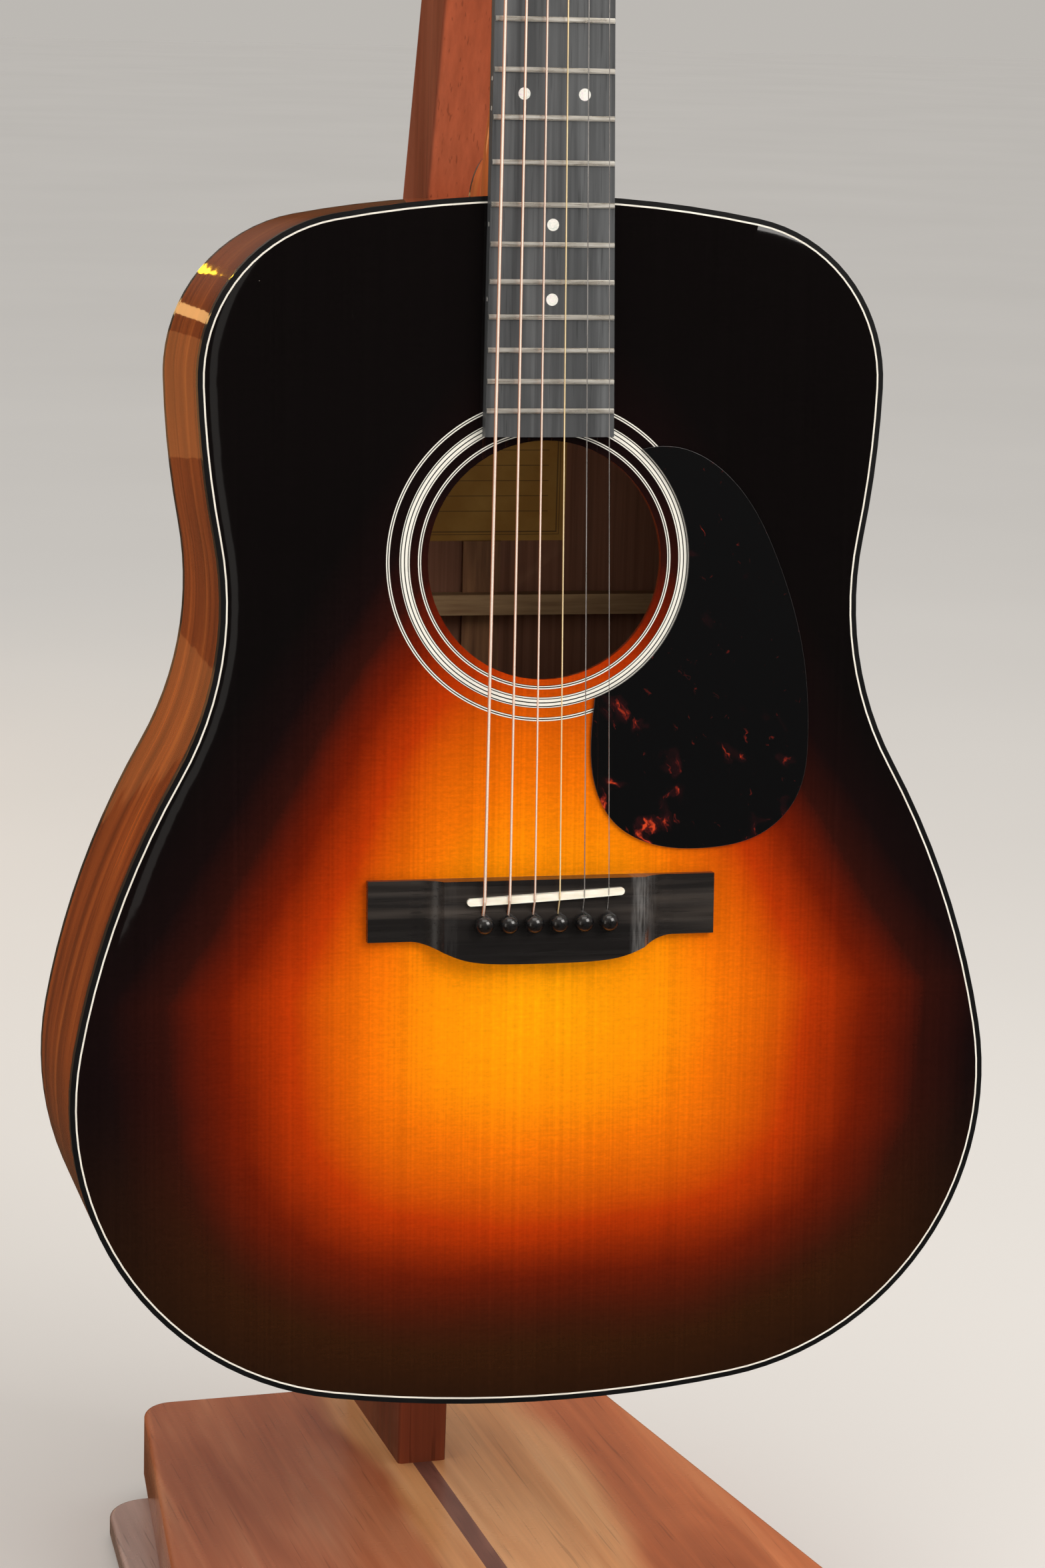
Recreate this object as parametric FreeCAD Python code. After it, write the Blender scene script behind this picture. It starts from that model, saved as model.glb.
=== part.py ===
"""Steel-string guitar hanging by its headstock from the yoke of a wooden stand.

Millimetres, +Z up, the front of the guitar faces -Y and +X is to the right of someone facing it.
The guitar is drawn in its own frame (X across the body, Y down into it from the soundboard's face, Z from the
tail towards the headstock) and then hung in the yoke, leaning and turned by the angles below.
"""
import FreeCAD, Part
import math
import os

Vec = FreeCAD.Vector
os.makedirs("parts", exist_ok=True)

# ---------------------------------------------------------------- driving dimensions: guitar body
TAIL_TO_FRET_14 = 510.0
SCALE_LENGTH = 645.16                     # 25.4 in
# tangent arcs of half the body outline from the tail's centre: radius (negative where it curves in), sweep in degrees
OUTLINE_ARCS = ((587.0, 8.62), (131.0, 91.85), (367.0, 19.22), (-142.5, 40.51), (411.0, 8.84), (69.0, 81.06))
DEPTH_TAIL = 122.0
DEPTH_NECK = 102.0
BACK_ARCH_RADIUS = 4570.0                 # 15 ft arch of the back plate
TOP_THICK = 2.8
BACK_THICK = 2.8
SIDE_THICK = 2.2
BINDING_WIDE = 2.15
BINDING_DEEP = 6.0
PURFLING_WIDE = 0.7
PURFLING_DEEP = 1.5
LINING_WIDE = 6.0
LINING_DEEP = 14.0

# ---------------------------------------------------------------- soundhole, bridge, pickguard
HOLE_Z = 363.3
HOLE_R = 50.0
ROSETTE_RINGS = ((52.6, 54.2), (57.5, 62.1), (66.0, 67.7))
ROSETTE_DEEP = 1.2
BRIDGE_HALF = 75.0
BRIDGE_LOW_Z = 203.9
BRIDGE_HIGH_Z = 229.8
BRIDGE_TALL = 9.0
BRIDGE_WING = 3.6
BRIDGE_CENTRE_HALF = 43.5
SADDLE_Z = 222.6
SADDLE_HALF = 34.0
SADDLE_THICK = 3.2
SADDLE_SLANT_DEG = 2.8
PIN_Z = 211.5
PIN_PITCH = 10.75
PIN_R = 2.6
PIN_HEAD_R = 4.1
GUARD_THICK = 1.3
GUARD_RING_R = 61.9
# points of the pickguard's free edge, from where it leaves the rosette below to where it meets it above
GUARD_EDGE = ((20.6, 288.0), (22.5, 268.5), (31.5, 251.8), (49.0, 242.2), (72.0, 240.3), (97.0, 246.4), (111.5, 261.5),
              (116.0, 288.0), (112.5, 326.0), (100.5, 364.0), (83.0, 394.0), (64.0, 408.2))

# ---------------------------------------------------------------- neck, fingerboard, headstock
FRETS = 20
BOARD_THICK = 6.5
BOARD_RADIUS = 406.4                      # 16 in
BOARD_END_Z = 415.0
NUT_WIDTH = 43.4
BOARD_TAPER = 0.0253                      # width gained per millimetre from the nut
NUT_THICK = 5.0
FRET_WIDE = 2.1
FRET_TALL = 1.1
FRET_TANG = 0.6
NECK_DEPTH_NUT = 15.0
NECK_DEPTH_BODY = 18.0
HEAD_TILT_DEG = 14.0
HEAD_LENGTH = 170.0
HEAD_THICK = 15.0
HEADPLATE_THICK = 1.8
HEAD_FACE_OVER_TOP = 1.5
HEAD_EAR_HALF = 31.0
HEAD_TOP_HALF = 36.5
PEG_ROWS = (45.0, 87.0, 129.0)            # distance of each pair of string posts from the nut
PEG_INSET = 12.0
POST_R = 3.0
WORM_OFFSET = 8.0
GEAR_R = 5.0
WORM_R = 2.4

# strings from the bass side: radius, and their spacings at nut and bridge
STRING_RADII = (0.68, 0.53, 0.41, 0.31, 0.22, 0.16)
NUT_STRING_HALF = 18.0
STRING_OVER_FRET_NUT = 0.3
STRING_AT_SADDLE = 11.9                   # height of the strings' undersides over the soundboard

# ---------------------------------------------------------------- how the guitar hangs
LEAN_DEG = 4.0
TURN_DEG = 4.0
HANG_Z = 868.0                            # the point of the guitar that stays over the stand's centre line
HANG_DEPTH = 80.0
HANG_Y = 140.0
HANG_X = 1.0                              # the neck hangs this far to one side of the yoke's middle
TAIL_OVER_BASE = 110.4

# ---------------------------------------------------------------- stand; Y = 0 is level with the guitar's tail
FOOT_TALL = 3.0
PLINTH_THICK = 10.0
BASE_THICK = 34.0
BASE_BACK_Y = 312.0
BASE_FRONT_Y = -58.0
BASE_BACK_HALF = 114.5
BASE_FLARE = 0.133                        # half width gained per millimetre towards the front
BASE_ASIDE = -2.4                         # the board's middle lies this far beside its strip
PLINTH_BACK_Y = 272.0
PLINTH_FRONT_Y = -66.0
PLINTH_BACK_HALF = 143.0
PLINTH_FLARE = 0.081
CORNER_R = 16.0
PLINTH_CORNER_R = 20.0
INLAY_WIDE = 9.4
INLAY_DEEP = 3.0
POST_THICK = 24.0
POST_LEFT = -8.0                          # the plank's left and right faces at its top
POST_RIGHT = 20.0
POST_TOP_Z = 1000.9
YOKE_PIVOT_Y = 148.0
YOKE_THICK = 24.0
YOKE_GAP_HALF = 27.0
PAD_THICK = 3.0
BOLT_R = 4.0
RUN_CLEAR = 0.06

BASE_TOP = FOOT_TALL + PLINTH_THICK + BASE_THICK
NUT_Z = TAIL_TO_FRET_14 + SCALE_LENGTH * (1 - 2 ** (-14 / 12))
HEAD_Z = NUT_Z + NUT_THICK

nodes = {}


# ================================================================ helpers
def box(x0, x1, y0, y1, z0, z1):
    return Part.makeBox(x1 - x0, y1 - y0, z1 - z0, Vec(x0, y0, z0))


def cylinder(radius, start, end):
    axis = end - start
    return Part.makeCylinder(radius, axis.Length, start, axis)


def cone(r0, r1, start, end):
    axis = end - start
    return Part.makeCone(r0, r1, axis.Length, start, axis)


def fuse(shapes):
    solid = shapes[0]
    for other in shapes[1:]:
        solid = solid.fuse(other)
    return solid.removeSplitter()


def compound(shapes):
    return Part.makeCompound([solid for shape in shapes for solid in shape.Solids])


def extrude(edges, direction):
    return Part.Face(Part.Wire(Part.__sortEdges__(edges))).extrude(direction)


def polygon(points):
    return [Part.LineSegment(a, b).toShape() for a, b in zip(points, points[1:] + points[:1])]


def spline_through(points):
    curve = Part.BSplineCurve()
    curve.interpolate(points)
    return curve.toShape()


def fret_z(number):
    return NUT_Z - SCALE_LENGTH * (1 - 2 ** (-number / 12))


def board_half(z):
    return (NUT_WIDTH + BOARD_TAPER * (NUT_Z - z)) / 2


def crown_drop(x):
    """How far the fingerboard's rounded face falls away at x from its centre line."""
    return x * x / (2 * BOARD_RADIUS)


# ================================================================ body outline
def outline_half(inset):
    """Start, middle and end points of each tangent arc of the right half, tail to neck, inset from the edge."""
    x, z, heading = 0.0, inset, 0.0
    arcs = []
    steps = list(OUTLINE_ARCS)
    for radius, sweep in steps + [(None, None)]:
        if radius is None:                                     # the last arc closes on the centre line, level
            radius = x / math.sin(heading)
            turn = math.pi - heading
        else:
            radius = radius - inset
            turn = math.copysign(math.radians(sweep), radius)
        points = [(x, z)]
        for part in (0.5, 1.0):
            angle = heading + turn * part
            points.append((x + radius * (math.sin(angle) - math.sin(heading)),
                           z - radius * (math.cos(angle) - math.cos(heading))))
        x, z = points[-1]
        heading += turn
        arcs.append(points)
    arcs[-1][-1] = (0.0, arcs[-1][-1][1])
    return arcs


def outline_edges(inset, y=0.0):
    edges = []
    for side in (1, -1):
        for arc in outline_half(inset):
            edges.append(Part.Arc(*[Vec(side * px, y, pz) for px, pz in arc]).toShape())
    return edges


def body_prism(inset, y0, y1):
    return extrude(outline_edges(inset, y0), Vec(0, y1 - y0, 0))


BODY_LENGTH = outline_half(0.0)[-1][-1][1]


def arch_sphere(inward):
    """Solid sphere whose surface is the back's outer face, moved inward."""
    half_chord = math.hypot(BODY_LENGTH, DEPTH_TAIL - DEPTH_NECK) / 2
    along = Vec(0, DEPTH_NECK - DEPTH_TAIL, BODY_LENGTH).normalize()
    middle = Vec(0, (DEPTH_TAIL + DEPTH_NECK) / 2, BODY_LENGTH / 2)
    reach = math.sqrt(BACK_ARCH_RADIUS ** 2 - half_chord ** 2)
    centre = middle + Vec(0, -along.z, along.y) * reach
    return Part.makeSphere(BACK_ARCH_RADIUS - inward, centre)


DEEP = DEPTH_TAIL + 20.0                  # deeper than the body anywhere


def back_layer(shape, outer, inner):
    """The part of a shape between two depths measured inward from the back's outer face."""
    return shape.common(arch_sphere(outer)).cut(arch_sphere(inner))


# ================================================================ guitar body
def make_soundboard():
    hole = cylinder(HOLE_R, Vec(0, -1, HOLE_Z), Vec(0, 5, HOLE_Z))
    purfling_inset = BINDING_WIDE + PURFLING_WIDE
    purfling = body_prism(BINDING_WIDE, 0, PURFLING_DEEP).cut(body_prism(purfling_inset, 0, PURFLING_DEEP))
    nodes["top_purfling"] = purfling
    rings = []
    for r_in, r_out in ROSETTE_RINGS:
        top, bottom = Vec(0, 0, HOLE_Z), Vec(0, ROSETTE_DEEP, HOLE_Z)
        rings.append(cylinder(r_out, top, bottom).cut(cylinder(r_in, top, bottom)))
    nodes["rosette_rings"] = compound(rings)
    board = body_prism(BINDING_WIDE, 0, TOP_THICK).cut(hole).cut(purfling)
    for ring in rings:
        board = board.cut(ring)
    return board


def make_bindings():
    ring = body_prism(0, 0, DEEP).cut(body_prism(BINDING_WIDE, 0, DEEP))
    nodes["top_binding"] = ring.common(box(-300, 300, 0, BINDING_DEEP, -10, 600))
    nodes["back_binding"] = back_layer(ring, 0, BINDING_DEEP)
    nodes["back_plate"] = back_layer(body_prism(BINDING_WIDE, 50, DEEP), 0, BACK_THICK)


def make_rim():
    rim = body_prism(0, BINDING_DEEP, DEEP).cut(body_prism(SIDE_THICK, 0, DEEP)).common(arch_sphere(BINDING_DEEP))
    nodes["side_treble"] = rim.common(box(0, 300, 0, DEEP, -10, 600))
    nodes["side_bass"] = rim.common(box(-300, 0, 0, DEEP, -10, 600))
    inside = body_prism(SIDE_THICK, TOP_THICK, DEEP).common(arch_sphere(BACK_THICK))
    neck_block = inside.common(box(-38, 38, 0, DEEP, BODY_LENGTH - 52, 600))
    tail_block = inside.common(box(-45, 45, 0, DEEP, 0, 26))
    tenon_slot = box(-11, 11, BINDING_DEEP, DEPTH_NECK - 16, BODY_LENGTH - 22, 600)
    nodes["neck_block"] = neck_block.cut(tenon_slot)
    nodes["tail_block"] = tail_block
    band = inside.cut(body_prism(SIDE_THICK + LINING_WIDE, 0, DEEP)).cut(neck_block).cut(tail_block)
    top_lining = band.common(box(-300, 300, 0, TOP_THICK + LINING_DEEP, -10, 600))
    back_lining = band.cut(arch_sphere(BACK_THICK + LINING_DEEP))
    nodes["kerfed_linings"] = compound([top_lining, back_lining])


def bar(x0, z0, x1, z1, wide, y0, y1):
    """A straight brace between two points of the X-Z plane."""
    run = Vec(x1 - x0, 0, z1 - z0)
    side = Vec(run.z, 0, -run.x).normalize() * (wide / 2)
    a, b = Vec(x0, y0, z0), Vec(x1, y0, z1)
    return extrude(polygon([a + side, b + side, b - side, a - side]), Vec(0, y1 - y0, 0))


def make_top_braces():
    inside = body_prism(SIDE_THICK + LINING_WIDE + 0.5, TOP_THICK, 40)
    under, tall = TOP_THICK, TOP_THICK + 15.0
    half_way = (under + tall) / 2
    cross_z = 285.0
    reach = 240.0
    arm_x, arm_z = reach * math.sin(math.radians(49)), reach * math.cos(math.radians(49))
    first = bar(-arm_x, cross_z - arm_z, arm_x, cross_z + arm_z, 8, under, tall)
    second = bar(arm_x, cross_z - arm_z, -arm_x, cross_z + arm_z, 8, under, tall)
    lap = first.common(second)
    first = first.cut(lap.common(box(-20, 20, half_way, tall, cross_z - 20, cross_z + 20)))
    second = second.cut(lap.common(box(-20, 20, under, half_way, cross_z - 20, cross_z + 20)))
    keep_clear = box(-38, 38, 0, 60, BODY_LENGTH - 52, 600).fuse(box(-45, 45, 0, 60, -10, 26))
    crossed = first.fuse(second)
    transverse = bar(-140, 436, 140, 436, 12, under, TOP_THICK + 13).cut(crossed)
    tone_high = bar(-90, 190, 65, 118, 7, under, TOP_THICK + 12).cut(crossed)
    tone_low = bar(-60, 130, 60, 76, 7, under, TOP_THICK + 10).cut(crossed)
    bars = [b.common(inside).cut(keep_clear) for b in (first, second, transverse, tone_high, tone_low)]
    plate = box(-80, 80, under, TOP_THICK + 2.5, 196, 236).cut(crossed).cut(tone_high).cut(tone_low)
    nodes["bridge_plate"] = largest(plate)
    nodes["top_braces"] = compound(bars)


def largest(shape):
    return max(shape.Solids, key=lambda solid: solid.Volume)


def make_back_inside():
    inside = body_prism(SIDE_THICK + LINING_WIDE + 0.5, 0, DEEP)
    blocks = box(-38, 38, 0, DEEP, BODY_LENGTH - 52, 600).fuse(box(-45, 45, 0, DEEP, -10, 26))
    braces = []
    for z, wide, tall in ((425, 9, 15), (335, 9, 15), (215, 16, 12), (105, 16, 12)):
        across = box(-220, 220, 0, DEEP, z - wide / 2, z + wide / 2).common(inside)
        braces.append(back_layer(across, BACK_THICK, BACK_THICK + tall))
    nodes["back_braces"] = compound(braces)
    strip = back_layer(box(-11.5, 5.5, 50, DEEP, 26, BODY_LENGTH - 52), BACK_THICK, BACK_THICK + 2.2)
    for brace in braces:
        strip = strip.cut(brace)
    pasted = box(-42, 35, 50, DEEP, 362.5, 417)
    nodes["back_centre_strip"] = compound([strip.cut(blocks).cut(pasted)])
    nodes["paper_label"] = back_layer(pasted, BACK_THICK, BACK_THICK + 0.4)


def make_pickguard():
    points = [Vec(x, 0, z) for x, z in GUARD_EDGE]

    def on_ring(x, above):
        return Vec(x, 0, HOLE_Z + above * math.sqrt(GUARD_RING_R ** 2 - x * x))

    low, high = on_ring(22.0, -1), on_ring(41.0, 1)
    middle = Vec(GUARD_RING_R, 0, HOLE_Z)
    edges = [spline_through([low] + points + [high]), Part.Arc(low, middle, high).toShape()]
    return extrude(edges, Vec(0, -GUARD_THICK, 0))


def make_end_pin():
    start = Vec(0, 60, -0.2)
    pin = fuse([cone(4.5, 3.6, start, Vec(0, 60, 24)), cylinder(6.5, Vec(0, 60, -2.2), start),
                cylinder(3.6, Vec(0, 60, -8), Vec(0, 60, -2)), cylinder(6.2, Vec(0, 60, -12), Vec(0, 60, -8))])
    for name in ("tail_block", "side_treble", "side_bass"):
        nodes[name] = nodes[name].cut(pin)
    return pin


# ================================================================ bridge, saddle, pins
def pin_x(index):
    return (index - 2.5) * PIN_PITCH


def make_bridge():
    left, right = -BRIDGE_HALF, BRIDGE_HALF
    low, high = BRIDGE_LOW_Z, BRIDGE_HIGH_Z
    half_belly = ((58.0, 0.0), (52.0, 0.9), (45.0, 3.6), (36.0, 7.4), (24.0, 9.5), (10.0, 10.0))
    points = [Vec(-x, 0, low - drop) for x, drop in half_belly]
    points += [Vec(x, 0, low - drop) for x, drop in reversed(half_belly)]
    belly_edge = spline_through(points)
    edges = [belly_edge] + [Part.LineSegment(a, b).toShape() for a, b in (
        (points[-1], Vec(right, 0, low)), (Vec(right, 0, low), Vec(right, 0, high)),
        (Vec(right, 0, high), Vec(left, 0, high)), (Vec(left, 0, high), Vec(left, 0, low)),
        (Vec(left, 0, low), points[0]))]
    bridge = extrude(edges, Vec(0, -BRIDGE_TALL, 0))
    for side in (-1, 1):                                         # hollowed shoulders down to the thin wings
        x0, x1, x2 = side * BRIDGE_CENTRE_HALF, side * (BRIDGE_CENTRE_HALF + 14), side * (BRIDGE_HALF + 2)
        drop = BRIDGE_TALL - BRIDGE_WING
        a, c = Vec(x0, -BRIDGE_TALL - 1, 150), Vec(x1, -BRIDGE_WING, 150)
        top = Vec(x0, -BRIDGE_TALL, 150)
        mid = Vec(x0 + side * 14 * 0.293, -BRIDGE_TALL + drop * 0.707, 150)
        scoop = [Part.Arc(top, mid, c).toShape()]
        scoop += [Part.LineSegment(p, q).toShape() for p, q in (
            (c, Vec(x2, -BRIDGE_WING, 150)), (Vec(x2, -BRIDGE_WING, 150), Vec(x2, -BRIDGE_TALL - 1, 150)),
            (Vec(x2, -BRIDGE_TALL - 1, 150), a), (a, top))]
        bridge = bridge.cut(extrude(scoop, Vec(0, 0, 120)))
    return bridge


def saddle_frame(shape):
    shape.rotate(Vec(0, 0, SADDLE_Z), Vec(0, 1, 0), -SADDLE_SLANT_DEG)
    return shape


def make_saddle():
    """Bone saddle with a top rounded like the fingerboard, standing in a slot in the bridge."""
    crest = STRING_AT_SADDLE - 0.03
    foot = BRIDGE_TALL - 5.0
    end = crest - crown_drop(SADDLE_HALF)
    z0, z1 = SADDLE_Z - SADDLE_THICK / 2, SADDLE_Z + SADDLE_THICK / 2
    edges = [Part.Arc(Vec(-SADDLE_HALF, -end, z0), Vec(0, -crest, z0), Vec(SADDLE_HALF, -end, z0)).toShape()]
    edges += [Part.LineSegment(a, b).toShape() for a, b in (
        (Vec(SADDLE_HALF, -end, z0), Vec(SADDLE_HALF, -foot, z0)),
        (Vec(SADDLE_HALF, -foot, z0), Vec(-SADDLE_HALF, -foot, z0)),
        (Vec(-SADDLE_HALF, -foot, z0), Vec(-SADDLE_HALF, -end, z0)))]
    saddle = extrude(edges, Vec(0, 0, z1 - z0))
    end_r, end_x = SADDLE_THICK / 2, SADDLE_HALF - SADDLE_THICK / 2
    plan = fuse([box(-end_x, end_x, -20, 0, z0, z1)] + [
        cylinder(end_r, Vec(x, -20, SADDLE_Z), Vec(x, 0, SADDLE_Z)) for x in (-end_x, end_x)])
    return saddle_frame(saddle.common(plan))


def make_bridge_group():
    bridge = make_bridge()
    saddle = make_saddle()
    pins = []
    for index, radius in enumerate(STRING_RADII):
        x = pin_x(index)
        hole = cylinder(PIN_R, Vec(x, -BRIDGE_TALL - 4, PIN_Z), Vec(x, 9, PIN_Z))
        flute = box(x - radius - 0.25, x + radius + 0.25, -BRIDGE_TALL - 1.0, 12, PIN_Z + 0.6, PIN_Z + PIN_R + 0.6)
        shank = cylinder(PIN_R, Vec(x, -BRIDGE_TALL, PIN_Z), Vec(x, 8, PIN_Z))
        collar = cone(3.6, 2.7, Vec(x, -BRIDGE_TALL - 1.4, PIN_Z), Vec(x, -BRIDGE_TALL, PIN_Z))
        head = Part.makeSphere(PIN_HEAD_R, Vec(x, -BRIDGE_TALL - 2.9, PIN_Z))
        head = head.cut(box(x - 6, x + 6, -BRIDGE_TALL, 0, PIN_Z - 6, PIN_Z + 6))
        pins.append(fuse([shank, collar, head]).cut(flute))
        ramp = cylinder(radius + 0.3, Vec(x, -BRIDGE_TALL - 0.2, PIN_Z + PIN_R + 2.5), Vec(x, 2, PIN_Z + 1.2))
        for drill in (hole, flute):
            bridge = bridge.cut(drill)
            nodes["soundboard"] = nodes["soundboard"].cut(drill)
            nodes["bridge_plate"] = nodes["bridge_plate"].cut(drill)
        bridge = bridge.cut(ramp)
        nodes["top_braces"] = nodes["top_braces"].cut(hole.fuse(flute))
    nodes["bridge"] = bridge.cut(saddle)
    nodes["saddle"] = saddle
    nodes["bridge_pins"] = compound(pins)


# ================================================================ neck and fingerboard
def neck_section(z, half, depth, y=0.0):
    """Flat-topped D section of the neck in a plane of constant Z."""
    left, right = Vec(-half, y, z), Vec(half, y, z)
    ellipse = Part.Ellipse(Vec(0, y, z), max(half, depth), min(half, depth))
    if depth > half:
        ellipse.rotate(FreeCAD.Placement(Vec(), FreeCAD.Rotation(Vec(0, 0, 1), 90), Vec(0, y, z)))
    steps = 12
    points = [Vec(-half * math.cos(math.pi * i / steps), y + depth * math.sin(math.pi * i / steps), z)
              for i in range(steps + 1)]
    return Part.Wire([spline_through(points), Part.LineSegment(right, left).toShape()])


def heel_section(y, half, length):
    """Rounded heel section in a plane of constant depth, its flat side inside the body's edge."""
    z0 = BODY_LENGTH - 6.0
    steps = 10
    points = [Vec(half * math.cos(math.pi * i / steps), y, z0 + (length + 6.0) * math.sin(math.pi * i / steps))
              for i in range(steps + 1)]
    return Part.Wire([spline_through(points), Part.LineSegment(points[-1], points[0]).toShape()])


def head_place(shape):
    """Carries a shape from the headstock's own frame, face at Y = 0 and nut at Z = 0, to the end of the neck."""
    shape = shape.copy()
    turn = FreeCAD.Rotation(Vec(1, 0, 0), -HEAD_TILT_DEG)
    shape.Placement = FreeCAD.Placement(Vec(0, -HEAD_FACE_OVER_TOP, HEAD_Z), turn).multiply(shape.Placement)
    return shape


def head_point(x, y, z):
    tilt = math.radians(HEAD_TILT_DEG)
    return Vec(x, -HEAD_FACE_OVER_TOP + y * math.cos(tilt) + z * math.sin(tilt),
               HEAD_Z - y * math.sin(tilt) + z * math.cos(tilt))


def head_outline_prism(y0, y1, inset=0.0):
    """Headstock outline: ears that flare out above the nut, straight sides and a low arched crest."""
    nut_half = NUT_WIDTH / 2 - inset
    ear, top = HEAD_EAR_HALF - inset, HEAD_TOP_HALF - inset
    crest = HEAD_LENGTH - inset
    edges = []
    for side in (-1, 1):
        start, flare = Vec(side * nut_half, y0, 0), Vec(side * (nut_half + 2.6), y0, 7.0)
        ear_end = Vec(side * ear, y0, 13.0)
        edges.append(Part.Arc(start, flare, ear_end).toShape())
        shoulder = Vec(side * top, y0, crest - 12.0)
        edges.append(Part.LineSegment(ear_end, shoulder).toShape())
        edges.append(Part.Arc(shoulder, Vec(side * (top - 2.2), y0, crest - 5.2),
                              Vec(side * (top - 8.0), y0, crest - 3.0)).toShape())
    edges.append(Part.Arc(Vec(-top + 8.0, y0, crest - 3.0), Vec(0, y0, crest), Vec(top - 8.0, y0, crest - 3.0)).toShape())
    edges.append(Part.LineSegment(Vec(-nut_half, y0, 0), Vec(nut_half, y0, 0)).toShape())
    return extrude(edges, Vec(0, y1 - y0, 0))


def make_neck():
    shaft = Part.makeLoft([neck_section(BODY_LENGTH - 8, board_half(BODY_LENGTH), NECK_DEPTH_BODY),
                           neck_section((BODY_LENGTH + NUT_Z) / 2, board_half((BODY_LENGTH + NUT_Z) / 2), 16.2),
                           neck_section(HEAD_Z, NUT_WIDTH / 2, NECK_DEPTH_NUT)], True)
    heel = Part.makeLoft([heel_section(4.0, 25.5, 98.0), heel_section(22.0, 24.5, 74.0), heel_section(45.0, 19.5, 46.0),
                          heel_section(70.0, 15.0, 29.0), heel_section(DEPTH_NECK - 4.5, 13.0, 20.0)], True)
    tenon = box(-11, 11, BINDING_DEEP, DEPTH_NECK - 16, BODY_LENGTH - 22, BODY_LENGTH + 4)
    outside = shaft.fuse(heel).cut(body_prism(0, -1, DEEP))
    slab = head_place(head_outline_prism(HEADPLATE_THICK, HEAD_THICK))
    scarf = Part.makeLoft([neck_section(NUT_Z - 34, board_half(NUT_Z - 34), NECK_DEPTH_NUT),
                           head_wire(NUT_WIDTH / 2 + 1.0, 5.0)], True)
    below_nut = box(-60, 60, -20, 0, NUT_Z - 60, HEAD_Z)
    rod_slot = box(-3.2, 3.2, 0, 9.5, BODY_LENGTH + 2, HEAD_Z + 20)
    neck = fuse([outside, slab, scarf]).cut(below_nut).cut(head_place(head_outline_prism(-20, HEADPLATE_THICK)))
    neck = neck.fuse(tenon).removeSplitter().cut(rod_slot)
    for name in ("side_treble", "side_bass"):
        nodes[name] = nodes[name].cut(tenon)
    rod = box(-3.2, 3.2, 0.4, 9.5, BODY_LENGTH + 2, HEAD_Z - 3)
    rod_nut = head_place(cylinder(3.4, Vec(0, 4.5, 1), Vec(0, 4.5, 14)))
    neck = neck.cut(head_place(cylinder(4.2, Vec(0, 4.0, -3), Vec(0, 4.0, 22)))).cut(
        head_place(box(-4.2, 4.2, 0, 4.5, 0, 22)))
    nodes["truss_rod"] = compound([rod, rod_nut])
    cap = back_cap()
    nodes["heel_cap"] = cap
    nodes["neck"] = largest(neck)


def head_wire(half, z):
    """Section across the headstock's root, rounded at the back, for the blend between neck and headstock."""
    points = [head_point(-half, HEADPLATE_THICK, z), head_point(-half, HEAD_THICK * 0.55, z),
              head_point(-half * 0.72, HEAD_THICK * 0.94, z), head_point(0, HEAD_THICK, z),
              head_point(half * 0.72, HEAD_THICK * 0.94, z), head_point(half, HEAD_THICK * 0.55, z),
              head_point(half, HEADPLATE_THICK, z)]
    return Part.Wire([spline_through(points), Part.LineSegment(points[-1], points[0]).toShape()])


def back_cap():
    sections = [heel_section(DEPTH_NECK - 4.5, 13.0, 20.0), heel_section(DEPTH_NECK - 2.0, 13.0, 20.0)]
    return Part.makeLoft(sections, True).cut(body_prism(0, -1, DEEP))


def board_shell(inner, outer, z0, z1):
    """Slice of a tube about the fingerboard's crown axis, between two heights over the soundboard's face."""
    axis_y = BOARD_RADIUS - BOARD_THICK
    start, end = Vec(0, axis_y, z0), Vec(0, axis_y, z1)
    ring = cylinder(axis_y + outer, start, end)
    if inner is not None:
        ring = ring.cut(cylinder(axis_y + inner, start, end))
    return ring


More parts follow.
